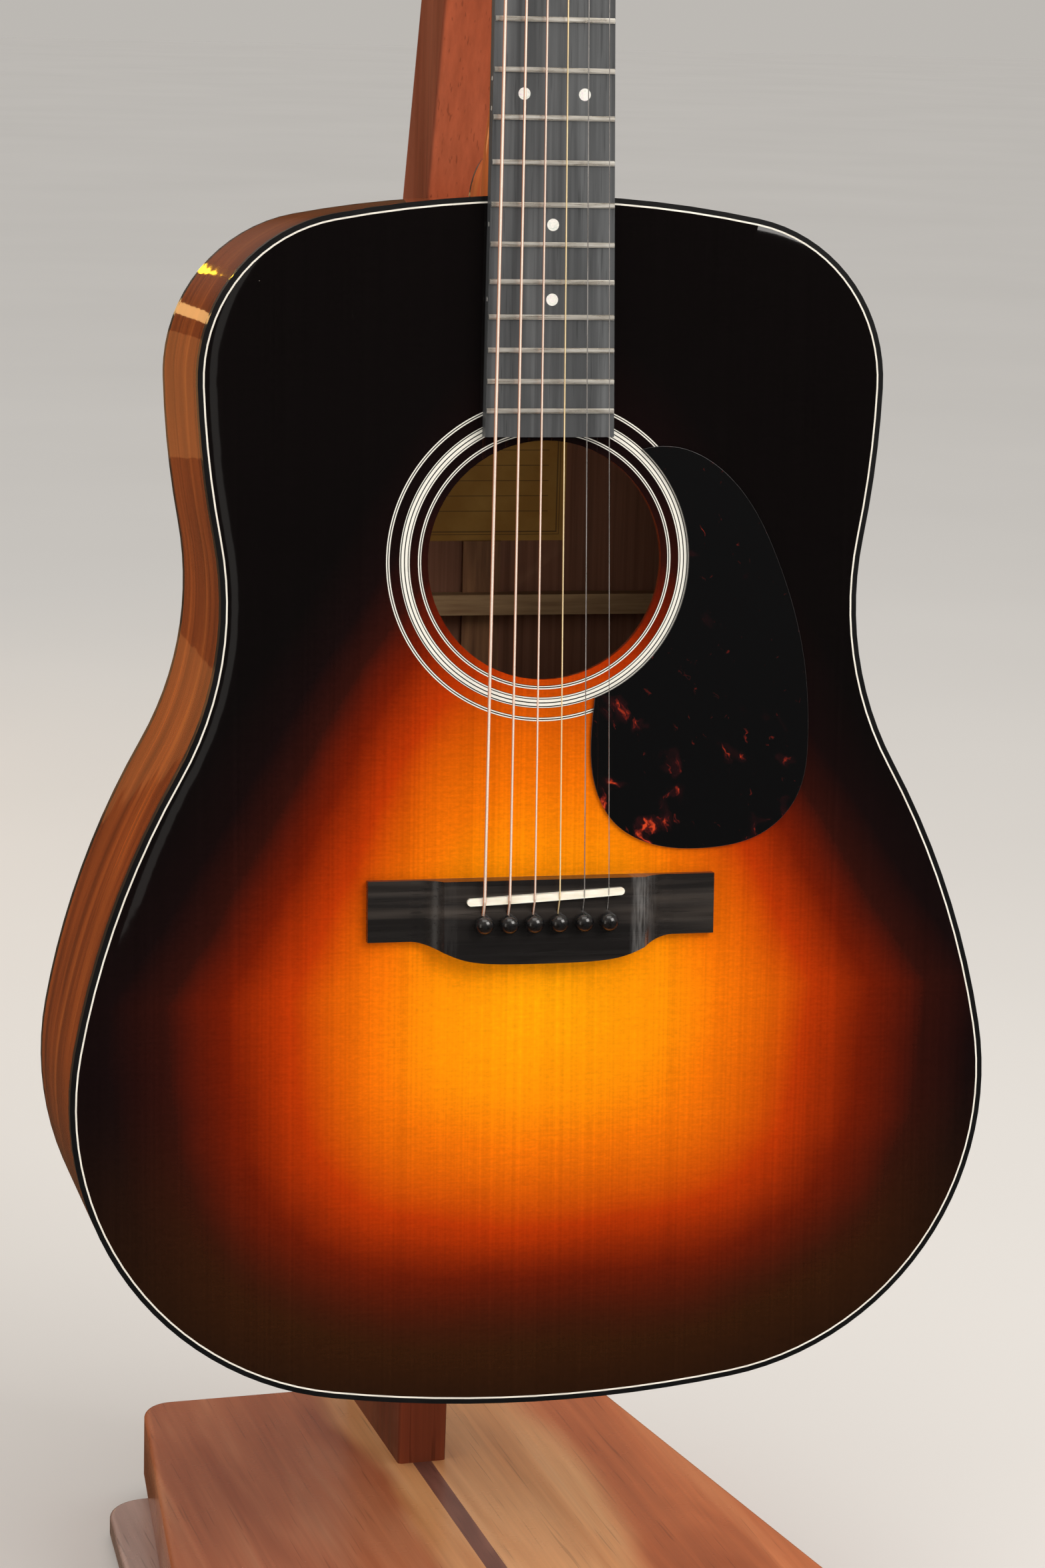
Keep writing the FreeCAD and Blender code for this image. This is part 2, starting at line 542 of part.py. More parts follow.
def make_fingerboard():
    low, high = board_half(BOARD_END_Z), board_half(NUT_Z)
    plan = polygon([Vec(-low, -BOARD_THICK - 1, BOARD_END_Z), Vec(low, -BOARD_THICK - 1, BOARD_END_Z),
                    Vec(high, -BOARD_THICK - 1, NUT_Z), Vec(-high, -BOARD_THICK - 1, NUT_Z)])
    blank = extrude(plan, Vec(0, BOARD_THICK + 1, 0))
    board = blank.common(board_shell(None, BOARD_THICK, BOARD_END_Z - 1, NUT_Z + 1))
    frets, dots = [], []
    for number in range(1, FRETS + 1):
        z = fret_z(number)
        half = board_half(z) - 0.3
        crown = board_shell(BOARD_THICK, BOARD_THICK + FRET_TALL, z - FRET_WIDE / 2, z + FRET_WIDE / 2)
        shoulder = board_shell(BOARD_THICK, BOARD_THICK + FRET_TALL * 0.55, z - FRET_WIDE / 2, z + FRET_WIDE / 2)
        ridge = board_shell(BOARD_THICK, BOARD_THICK + FRET_TALL, z - FRET_WIDE * 0.3, z + FRET_WIDE * 0.3)
        crown = shoulder.fuse(ridge).common(box(-half, half, -12, 0, z - 3, z + 3))
        tang = board_shell(BOARD_THICK - 2.0, BOARD_THICK, z - FRET_TANG / 2, z + FRET_TANG / 2)
        tang = tang.common(box(-half, half, -12, 0, z - 3, z + 3))
        board = board.cut(tang)
        frets.append(crown.fuse(tang).removeSplitter())
    for number, xs, radius in ((3, (0,), 3.2), (5, (0,), 3.2), (7, (0,), 3.2), (9, (0,), 3.2),
                               (12, (-12.7, 12.7), 2.5), (15, (0,), 2.5), (17, (0,), 2.5)):
        z = (fret_z(number) + fret_z(number - 1)) / 2
        for x in xs:
            drill = cylinder(radius, Vec(x, -BOARD_THICK - 1, z), Vec(x, -BOARD_THICK + 1.3, z))
            dots.append(board.common(drill))
            board = board.cut(drill)
        edge = -board_half(z)
        offsets = (-6.0, 6.0) if number == 12 else (0.0,)
        for dz in offsets:
            drill = cylinder(1.0, Vec(edge - 1, -BOARD_THICK / 2, z + dz), Vec(edge + 1.5, -BOARD_THICK / 2, z + dz))
            dots.append(board.common(drill))
            board = board.cut(drill)
    nodes["fingerboard"] = board
    nodes["frets"] = compound(frets)
    nodes["position_dots"] = compound(dots)


def string_at_nut(index):
    x = (index - 2.5) / 2.5 * NUT_STRING_HALF
    height = BOARD_THICK + FRET_TALL + STRING_OVER_FRET_NUT - crown_drop(x) + STRING_RADII[index]
    return x, height


def make_nut():
    half = NUT_WIDTH / 2
    nut = box(-half, half, -(BOARD_THICK + FRET_TALL + 0.9), 0, NUT_Z, HEAD_Z)
    nut = nut.common(board_shell(None, BOARD_THICK + FRET_TALL + 0.7, NUT_Z - 1, HEAD_Z + 1))
    slope = box(-half - 1, half + 1, -14, 0, 0, 12)
    slope.rotate(Vec(0, 0, 0), Vec(1, 0, 0), -HEAD_TILT_DEG - 4)
    slope.translate(Vec(0, -(BOARD_THICK + FRET_TALL) + 0.6, HEAD_Z - 1.6))
    nut = nut.cut(slope)
    for index, radius in enumerate(STRING_RADII):
        x, height = string_at_nut(index)
        nut = nut.cut(cylinder(radius + 0.06, Vec(x, -height, NUT_Z - 1), Vec(x, -height, HEAD_Z + 1)))
        nut = nut.cut(box(x - radius - 0.06, x + radius + 0.06, -20, -height, NUT_Z - 1, HEAD_Z + 1))
    return largest(nut)


# ================================================================ headstock and tuners
def peg_place(index):
    """X, Z of a string post in the headstock's frame; strings 0 to 2 are on the bass side."""
    side = -1 if index < 3 else 1
    row = index if index < 3 else 5 - index
    z = PEG_ROWS[row]
    half = HEAD_EAR_HALF + (HEAD_TOP_HALF - HEAD_EAR_HALF) * (z - 13.0) / (HEAD_LENGTH - 25.0)
    return side, side * (half - PEG_INSET), z


def make_tuners():
    housings, bushings, screws = [], [], []
    back = HEAD_THICK
    holes = []
    for index in range(6):
        side, x, z = peg_place(index)
        worm_z = z - WORM_OFFSET
        post = fuse([cylinder(POST_R, Vec(x, -19, z), Vec(x, back + 8.0, z)),
                     cylinder(POST_R + 0.5, Vec(x, -20.2, z), Vec(x, -17.5, z)),
                     cylinder(GEAR_R, Vec(x, back + 2.4, z), Vec(x, back + 7.4, z))])
        waist = Part.makeTorus(POST_R + 1.6, 2.0, Vec(x, -10.5, z), Vec(0, 1, 0))
        post = post.cut(waist).cut(cylinder(0.9, Vec(x - 6, -10.5, z), Vec(x + 6, -10.5, z)))
        nodes["string_post_%d" % (6 - index)] = head_place(largest(post))
        out = x + side * 8.0
        shaft_y = back + 4.9
        nodes["tuner_key_%d" % (6 - index)] = head_place(make_key(x, side, shaft_y, worm_z))
        shell = box(x - 8, x + 8, back, back + 10, z - 13, z + 8)
        shell = shell.makeFillet(2.5, [e for e in shell.Edges if abs(e.BoundBox.YMin - back) > 0.1])
        cave = box(x - 6.4, x + 6.4, back + 1.2, back + 8.6, z - 11.4, z + 6.4)
        collar = cylinder(3.4, Vec(out - side * 1.0, shaft_y, worm_z), Vec(out + side * 2.0, shaft_y, worm_z))
        ear = fuse([cylinder(3.8, Vec(x, back, z + 10.5), Vec(x, back + 1.8, z + 10.5)),
                    box(x - 3.8, x + 3.8, back, back + 1.8, z + 6, z + 10.5)])
        bore = cylinder(1.9 + RUN_CLEAR, Vec(x - side * 9, shaft_y, worm_z), Vec(x + side * 12, shaft_y, worm_z))
        bore = bore.common(box(*sorted((x - side * 6.2, x + side * 12)), back, back + 12, 0, HEAD_LENGTH))
        post_bore = cylinder(POST_R + RUN_CLEAR, Vec(x, back - 1, z), Vec(x, back + 8.2, z))
        screw_z = z + 10.5
        screw = fuse([cone(2.6, 1.3, Vec(x, back + 2.3, screw_z), Vec(x, back + 0.9, screw_z)),
                      cylinder(1.2, Vec(x, back + 1.0, screw_z), Vec(x, back - 8.0, screw_z))])
        screws.append(screw.cut(box(x - 0.3, x + 0.3, back + 1.8, back + 3, screw_z - 2, screw_z + 2)))
        housing = fuse([shell, collar, ear]).cut(cave).cut(bore).cut(post_bore).cut(screw)
        housings.append(head_place(largest(housing)))
        bushing = fuse([cylinder(6.4, Vec(x, -1.2, z), Vec(x, 0, z)), hex_prism(x, z, 5.0, -3.4, -1.2),
                        cylinder(4.4, Vec(x, 0, z), Vec(x, 8.0, z))])
        bushing = bushing.cut(cylinder(POST_R + RUN_CLEAR, Vec(x, -6, z), Vec(x, 10, z)))
        bushings.append(head_place(bushing))
        holes.append(cylinder(4.4, Vec(x, -1, z), Vec(x, 8.0, z)))
        holes.append(cylinder(3.6, Vec(x, 7.0, z), Vec(x, back + 1, z)))
        holes.append(screw)
    cover, cover_screws = make_truss_cover()
    headplate = head_outline_prism(0, HEADPLATE_THICK).cut(box(-4.2, 4.2, -1, 5, -1, 22))
    neck = nodes["neck"]
    for hole in holes + cover_screws:
        headplate = headplate.cut(hole)
        neck = neck.cut(head_place(hole))
    nodes["neck"] = largest(neck)
    nodes["headplate"] = head_place(headplate)
    nodes["truss_cover"] = head_place(cover)
    nodes["tuner_housings"] = compound(housings)
    nodes["tuner_bushings"] = compound(bushings)
    nodes["small_screws"] = compound([head_place(screw) for screw in screws + cover_screws])


def hex_prism(x, z, radius, y0, y1):
    corners = [Vec(x + radius * math.cos(math.radians(60 * i)), y0, z + radius * math.sin(math.radians(60 * i)))
               for i in range(6)]
    return extrude(polygon(corners), Vec(0, y1 - y0, 0))


def make_key(x, side, y, z):
    """Tuner key pointing outward: worm, shaft with its collar, and a flattened oval knob."""
    start = Vec(x - 5.5, y, z)
    knob = Part.makeSphere(9.2)
    stretch = FreeCAD.Matrix()
    stretch.scale(Vec(0.62, 0.38, 1.0))
    knob = knob.transformGeometry(stretch)
    knob.translate(Vec(x + 23.7, y, z))
    key = fuse([cylinder(WORM_R, start, start + Vec(11, 0, 0)),
                cylinder(1.9, start - Vec(0.5, 0, 0), Vec(x + 19.5, y, z)),
                cylinder(3.0, Vec(x + 10.3, y, z), Vec(x + 13.0, y, z)), knob])
    if side < 0:
        key.rotate(Vec(x, y, z), Vec(0, 1, 0), 180)
    return key


def make_truss_cover():
    outline = [Vec(-8.5, 0, 3.0), Vec(8.5, 0, 3.0), Vec(5.0, 0, 27.0)]
    edges = [Part.LineSegment(outline[0], outline[1]).toShape(), Part.LineSegment(outline[1], outline[2]).toShape(),
             Part.Arc(outline[2], Vec(0, 0, 32.5), Vec(-5.0, 0, 27.0)).toShape(),
             Part.LineSegment(Vec(-5.0, 0, 27.0), outline[0]).toShape()]
    cover = extrude(edges, Vec(0, -2.0, 0))
    screws = []
    for x, z in ((-5.4, 6.4), (5.4, 6.4), (0, 28.0)):
        screw = fuse([cone(1.9, 1.0, Vec(x, -2.2, z), Vec(x, -1.0, z)), cylinder(0.8, Vec(x, -1.2, z), Vec(x, 7.0, z))])
        cover = cover.cut(screw)
        screws.append(screw.cut(box(x - 1.5, x + 1.5, -3, -1.9, z - 0.2, z + 0.2)))
    return cover, screws


# ================================================================ strings
def make_strings():
    for index, radius in enumerate(STRING_RADII):
        pin = pin_x(index)
        slant = math.tan(math.radians(SADDLE_SLANT_DEG))
        saddle_z = SADDLE_Z + pin * slant
        saddle_y = -(STRING_AT_SADDLE - crown_drop(pin) + radius + 0.05)
        nut_x, nut_height = string_at_nut(index)
        side, post_x, post_z = peg_place(index)
        path = [Vec(pin, 9.0, PIN_Z + 1.75), Vec(pin, -BRIDGE_TALL + 1.0, PIN_Z + 1.75 + radius * 0.4),
                Vec(pin, saddle_y, saddle_z), Vec(nut_x, -nut_height - 0.01, NUT_Z + 0.4),
                Vec(nut_x, -nut_height + 0.15, HEAD_Z - 0.6),
                head_point(post_x - side * (POST_R - 0.4 + radius + 0.35), -9.6 + 0.3 * index % 1, post_z)]
        spine = Part.makePolygon(path)
        section = Part.Wire([Part.makeCircle(radius, path[0], path[1] - path[0])])
        wire = spine.makePipeShell([section], True, False, 1)
        ball = cylinder(1.9, path[0] - Vec(0, 0.9, 0), path[0] + Vec(0, 3.0, 0))
        string = fuse([wire, ball])
        nodes["string_%d" % (6 - index)] = string
        for name in ("bridge", "saddle", "nut"):
            nodes[name] = nodes[name].cut(string)
    nodes["headplate"] = nodes["headplate"].cut(nodes["nut"])


# ================================================================ stand
def trapezoid(back_y, front_y, back_half, flare, corner, z0, z1):
    front_half = back_half + flare * (back_y - front_y)
    block = extrude(polygon([Vec(-front_half, front_y, z0), Vec(front_half, front_y, z0),
                             Vec(back_half, back_y, z0), Vec(-back_half, back_y, z0)]), Vec(0, 0, z1 - z0))
    upright = [e for e in block.Edges if e.BoundBox.ZLength > (z1 - z0) * 0.9]
    return block.makeFillet(corner, upright)


def soften(solid, radius, z):
    """Rounds the edges of a board that lie at height z."""
    rim = [e for e in solid.Edges if e.BoundBox.ZLength < 0.01 and abs(e.BoundBox.ZMin - z) < 0.01]
    return solid.makeFillet(radius, rim)


def make_base():
    plinth_z0, board_z0 = FOOT_TALL, FOOT_TALL + PLINTH_THICK
    plinth = trapezoid(PLINTH_BACK_Y, PLINTH_FRONT_Y, PLINTH_BACK_HALF, PLINTH_FLARE, PLINTH_CORNER_R,
                       plinth_z0, board_z0)
    plinth = soften(plinth, 2.5, board_z0)
    board = trapezoid(BASE_BACK_Y, BASE_FRONT_Y, BASE_BACK_HALF, BASE_FLARE, CORNER_R, board_z0, BASE_TOP)
    board = soften(soften(board, 3.5, BASE_TOP), 1.5, board_z0)
    board.translate(Vec(BASE_ASIDE, 0, 0))
    inlay = board.common(box(-INLAY_WIDE / 2, INLAY_WIDE / 2, -200, 400, BASE_TOP - INLAY_DEEP, BASE_TOP))
    board = board.cut(inlay)
    feet, screws = [], []
    for x, y in ((-120, 245), (120, 245), (-140, -35), (140, -35)):
        foot = cylinder(13.0, Vec(x, y, 0), Vec(x, y, FOOT_TALL))
        feet.append(foot.makeFillet(1.0, [e for e in foot.Edges if e.BoundBox.ZMax < 0.01]))
    for x, y, top in ((0, 228, 105), (0, 285, 105), (-95, 205, 36), (95, 205, 36), (-118, 15, 36), (118, 15, 36)):
        shank = cylinder(2.5, Vec(x, y, plinth_z0 + 3), Vec(x, y, top))
        screws.append(shank.fuse(cone(5.2, 2.5, Vec(x, y, plinth_z0 + 0.2), Vec(x, y, plinth_z0 + 3.4))))
    screws[1] = cylinder(2.5, Vec(0, 285, board_z0 + 3), Vec(0, 285, 105)).fuse(
        cone(5.2, 2.5, Vec(0, 285, board_z0 + 0.2), Vec(0, 285, board_z0 + 3.4)))
    sink = [cylinder(5.2, Vec(x, y, plinth_z0 - 1), Vec(x, y, plinth_z0 + 0.2))
            for x, y in ((0, 228), (-95, 205), (95, 205), (-118, 15), (118, 15))]
    sink.append(cylinder(5.2, Vec(0, 285, board_z0 - 1), Vec(0, 285, board_z0 + 0.2)))
    for drill in screws + sink:
        plinth = plinth.cut(drill)
        board = board.cut(drill)
        inlay = inlay.cut(drill)
    nodes["post"] = make_post()
    for drill in screws[:2]:
        nodes["post"] = nodes["post"].cut(drill)
    nodes["base_plinth"] = plinth
    nodes["base_board"] = board
    nodes["base_inlay"] = inlay
    nodes["base_feet"] = compound(feet)
    nodes["stand_screws"] = compound(screws)


def make_post():
    """Upright plank: a deep foot, a shank that sways a little to the right, an upper half that bends forward."""
    z_foot = BASE_TOP
    wide = POST_THICK / 2
    front = [(204.6, z_foot), (204.6, 88.0)]
    front_sweep = [(204.6, 88.0), (207.5, 118.0), (219.0, 165.0), (233.0, 225.0), (239.5, 290.0)]
    front_bend = [(239.5, 290.0), (241.5, 380.0), (238.0, 480.0), (229.0, 574.0), (212.0, 659.0)]
    front_top = [(212.0, 659.0), (130.2, POST_TOP_Z)]
    back = [(306.0, z_foot), (306.0, 60.0)]
    back_sweep = [(306.0, 60.0), (302.5, 84.0), (293.0, 130.0), (286.0, 190.0), (283.5, 260.0)]
    back_bend = [(283.5, 260.0), (284.5, 360.0), (281.5, 460.0), (273.0, 556.0), (256.2, 654.0)]
    back_top = [(256.2, 654.0), (165.8, POST_TOP_Z)]
    edges = []
    for points in (front, front_top, back, back_top, [(204.6, z_foot), (306.0, z_foot)],
                   [(130.2, POST_TOP_Z), (165.8, POST_TOP_Z)]):
        edges.append(Part.LineSegment(*[Vec(-wide, y, z) for y, z in points]).toShape())
    for sweep, bend in ((front_sweep, front_bend), (back_sweep, back_bend)):
        edges.append(spline_through([Vec(-wide, y, z) for y, z in sweep + bend[1:]]))
    plank = extrude(edges, Vec(wide + POST_RIGHT, 0, 0))
    sway = polygon([Vec(-wide, 100, z_foot), Vec(wide, 100, z_foot), Vec(POST_RIGHT, 100, POST_TOP_Z),
                    Vec(POST_LEFT, 100, POST_TOP_Z)])
    plank = plank.common(extrude(sway, Vec(0, 250, 0)))
    long_edges = [e for e in plank.Edges if e.BoundBox.XLength < 4 and e.BoundBox.ZMin > z_foot + 5
                  and e.BoundBox.ZLength > 5]
    return plank.makeFillet(2.0, long_edges)


def yoke_place(shape):
    """Turns a shape drawn about the yoke's swivel to where the hanging guitar holds it."""
    shape = shape.copy()
    turn = FreeCAD.Rotation(Vec(0, 0, 1), -TURN_DEG)
    shape.Placement = FreeCAD.Placement(Vec(0, YOKE_PIVOT_Y, 0), turn).multiply(shape.Placement)
    return shape


def fork_prism(grow, z0, z1, throat_y):
    """Plan of the yoke: a round hub behind, two arms forward and a U-shaped throat for the neck."""
    arm_out = 50.0 + grow
    gap = YOKE_GAP_HALF + PAD_THICK - grow
    tip_y, hub_r = -108.0 - grow, 21.0 + grow
    tip_r = (arm_out - gap) / 2
    edges = []
    for side in (-1, 1):
        hub = Vec(side * hub_r * 0.94, -hub_r * 0.34, z0)
        hip = Vec(side * arm_out, throat_y - 6.0, z0)
        curve = Part.BezierCurve()
        curve.setPoles([hub, Vec(side * 26.0, -36.0, z0), Vec(side * arm_out, -42.0, z0), hip])
        tip_out, tip_in = Vec(side * arm_out, tip_y + tip_r, z0), Vec(side * gap, tip_y + tip_r, z0)
        tip = Vec(side * (arm_out + gap) / 2, tip_y, z0)
        throat = Vec(side * gap, throat_y, z0)
        edges += [curve.toShape(), Part.LineSegment(hip, tip_out).toShape(), Part.Arc(tip_out, tip, tip_in).toShape(),
                  Part.LineSegment(tip_in, throat).toShape()]
    edges.append(Part.Arc(Vec(-gap, throat_y, z0), Vec(0, throat_y + gap, z0), Vec(gap, throat_y, z0)).toShape())
    edges.append(Part.Arc(Vec(-hub_r * 0.94, -hub_r * 0.34, z0), Vec(0, hub_r, z0),
                          Vec(hub_r * 0.94, -hub_r * 0.34, z0)).toShape())
    return extrude(edges, Vec(0, 0, z1 - z0))


def make_yoke():
    z0 = POST_TOP_Z + 1.6
    z1 = z0 + YOKE_THICK
    throat_y = -82.0
    fork = fork_prism(0, z0, z1, throat_y)
    rim = [e for e in fork.Edges if e.BoundBox.ZLength < 0.01 and abs(e.BoundBox.ZMin - z0) < 0.01]
    fork = fork.makeFillet(2.0, rim)
    fork = fork.cut(cylinder(BOLT_R + RUN_CLEAR, Vec(0, 0, z0 - 1), Vec(0, 0, z1 + 1)))
    fork = fork.cut(cylinder(10.4, Vec(0, 0, z1 - 8.0), Vec(0, 0, z1 + 1)))
    liner_z0 = z0 + 3.0
    liner = fork_prism(PAD_THICK, liner_z0, z1 + PAD_THICK, throat_y).cut(fork_prism(0, liner_z0 - 1, z1, throat_y))
    inner_only = box(-YOKE_GAP_HALF - PAD_THICK, YOKE_GAP_HALF + PAD_THICK, -120, 0, liner_z0, z1 + PAD_THICK)
    top_pad = fork_prism(-1.0, z1, z1 + PAD_THICK, throat_y).cut(box(-60, 60, -46.0, 60, 0, 2000))
    liner = liner.common(inner_only).common(box(-60, 60, -106.0, 0, 0, 2000)).cut(box(-60, 60, -46.0, 60, 0, 2000))
    pads = fuse([liner, top_pad])
    nodes["yoke"] = yoke_place(largest(fork))
    nodes["yoke_pads"] = yoke_place(compound([pads]))
    bolt = fuse([cylinder(BOLT_R, Vec(0, 0, POST_TOP_Z - 45), Vec(0, 0, z1 - 6.2)),
                 cylinder(7.0, Vec(0, 0, z1 - 6.2), Vec(0, 0, z1 - 0.8))])
    bolt = bolt.cut(cylinder(3.0, Vec(0, 0, z1 - 4.0), Vec(0, 0, z1)))
    upper = cylinder(10.0, Vec(0, 0, z1 - 7.8), Vec(0, 0, z1 - 6.2)).cut(
        cylinder(BOLT_R, Vec(0, 0, z1 - 9), Vec(0, 0, z1)))
    lower = cylinder(11.5, Vec(0, 0, POST_TOP_Z), Vec(0, 0, POST_TOP_Z + 1.5)).cut(
        cylinder(BOLT_R, Vec(0, 0, POST_TOP_Z - 1), Vec(0, 0, POST_TOP_Z + 2)))
    hardware = [bolt, upper, lower]
    for piece in hardware:
        piece.translate(Vec(0, YOKE_PIVOT_Y, 0))
    nodes["post"] = nodes["post"].cut(bolt)
    nodes["swivel_bolt"] = compound(hardware)


# ================================================================ assembly
STAND_NODES = ("base_feet", "base_plinth", "base_board", "base_inlay", "post", "stand_screws", "swivel_bolt",
               "yoke", "yoke_pads")


def hang(shape):
    """Carries a shape from the guitar's frame to where the guitar hangs in the yoke."""
    turn = FreeCAD.Rotation(Vec(0, 0, 1), -TURN_DEG).multiply(FreeCAD.Rotation(Vec(1, 0, 0), -LEAN_DEG))
    pivot = Vec(0, HANG_DEPTH, HANG_Z)
    lean = math.radians(LEAN_DEG)
    height = BASE_TOP + TAIL_OVER_BASE + HANG_Z * math.cos(lean) - HANG_DEPTH * math.sin(lean)
    place = FreeCAD.Placement(Vec(HANG_X, HANG_Y, height), turn, Vec(0, 0, 0))
    place = place.multiply(FreeCAD.Placement(pivot * -1, FreeCAD.Rotation()))
    shape = shape.copy()
    shape.Placement = place.multiply(shape.Placement)
    return shape


def build_guitar():
    nodes["soundboard"] = make_soundboard()
    make_bindings()
    make_rim()
    make_top_braces()
    make_back_inside()
    nodes["pickguard"] = make_pickguard()
    make_bridge_group()
    nodes["end_pin"] = make_end_pin()
    make_neck()
    make_fingerboard()
    nodes["nut"] = make_nut()
    make_tuners()
    make_strings()


build_guitar()
make_base()
make_yoke()
placed = {name: shape if name in STAND_NODES else hang(shape) for name, shape in nodes.items()}
whole = FreeCAD.BoundBox()
for shape in placed.values():
    whole.add(shape.optimalBoundingBox(True, False))
shift = Vec(-(whole.XMin + whole.XMax) / 2, -(whole.YMin + whole.YMax) / 2, -whole.ZMin)
for name, shape in sorted(placed.items()):
    shape.translate(shift)
    shape.exportStep("parts/%s.step" % name)
print("nodes", len(placed), "box", round(whole.XLength, 2), round(whole.YLength, 2), round(whole.ZLength, 2))
print("shift", [round(v, 3) for v in shift])
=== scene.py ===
"""Looks of the guitar on its stand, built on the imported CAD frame.

Metres, +Z up, the guitar's front faces -Y.
"""
import math

import bmesh
import bpy
from mathutils import Matrix, Vector


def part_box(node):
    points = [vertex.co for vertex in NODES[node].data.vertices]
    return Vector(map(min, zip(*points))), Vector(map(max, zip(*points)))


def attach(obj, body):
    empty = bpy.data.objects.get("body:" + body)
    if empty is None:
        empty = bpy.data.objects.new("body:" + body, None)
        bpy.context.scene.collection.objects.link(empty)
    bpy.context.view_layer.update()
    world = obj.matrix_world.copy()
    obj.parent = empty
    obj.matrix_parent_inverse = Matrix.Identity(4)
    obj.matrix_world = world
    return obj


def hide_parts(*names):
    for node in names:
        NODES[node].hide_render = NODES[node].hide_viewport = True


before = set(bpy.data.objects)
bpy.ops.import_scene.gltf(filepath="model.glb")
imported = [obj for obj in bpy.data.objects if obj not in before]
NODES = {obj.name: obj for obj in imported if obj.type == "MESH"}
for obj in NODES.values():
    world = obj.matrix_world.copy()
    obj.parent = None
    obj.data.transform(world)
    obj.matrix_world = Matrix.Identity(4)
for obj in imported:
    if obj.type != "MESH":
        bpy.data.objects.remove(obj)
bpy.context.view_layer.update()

# ---------------------------------------------------------------- the guitar's own frame, as hung in the yoke
# X across the body, Y down into it from the soundboard's face, Z from the tail to the headstock
LEAN = math.radians(-4)
TURN = math.radians(-4)
ORIGIN = (-0.0047676, -0.1230118, 0.1574)
HUNG = Matrix.Translation(ORIGIN) @ Matrix.Rotation(TURN, 4, "Z") @ Matrix.Rotation(LEAN, 4, "X")
OUTWARD = HUNG.to_3x3() @ Vector((0, -1, 0))          # the way the soundboard faces
SCALE_LENGTH = 0.64516
JOINT_Z = 0.510                                       # the 14th fret, over the body's edge
NUT_Z = JOINT_Z + SCALE_LENGTH * (1 - 2 ** (-14 / 12))
HEAD_Z = NUT_Z + 0.005
HEAD_TILT = math.radians(-14)
HEAD = HUNG @ Matrix.Translation((0, -0.0015, HEAD_Z)) @ Matrix.Rotation(HEAD_TILT, 4, "X")
HOLE_Z = 0.3633
# tangent arcs of half the body outline from the tail's centre: radius (negative where it curves in), degrees
OUTLINE = ((0.587, 8.62), (0.131, 91.85), (0.367, 19.22), (-0.1425, 40.51), (0.411, 8.84), (0.069, 81.06))


def srgb(r, g, b):
    """Linear colour from 0-255 display values."""
    parts = []
    for c in (r / 255, g / 255, b / 255):
        parts.append(c / 12.92 if c <= 0.04045 else ((c + 0.055) / 1.055) ** 2.4)
    return (*parts, 1.0)


def tones(*colours):
    """Ramp stops evenly spaced from 0 to 1, for colours given as 0-255 display values."""
    return [(index / (len(colours) - 1), srgb(*colour)) for index, colour in enumerate(colours)]


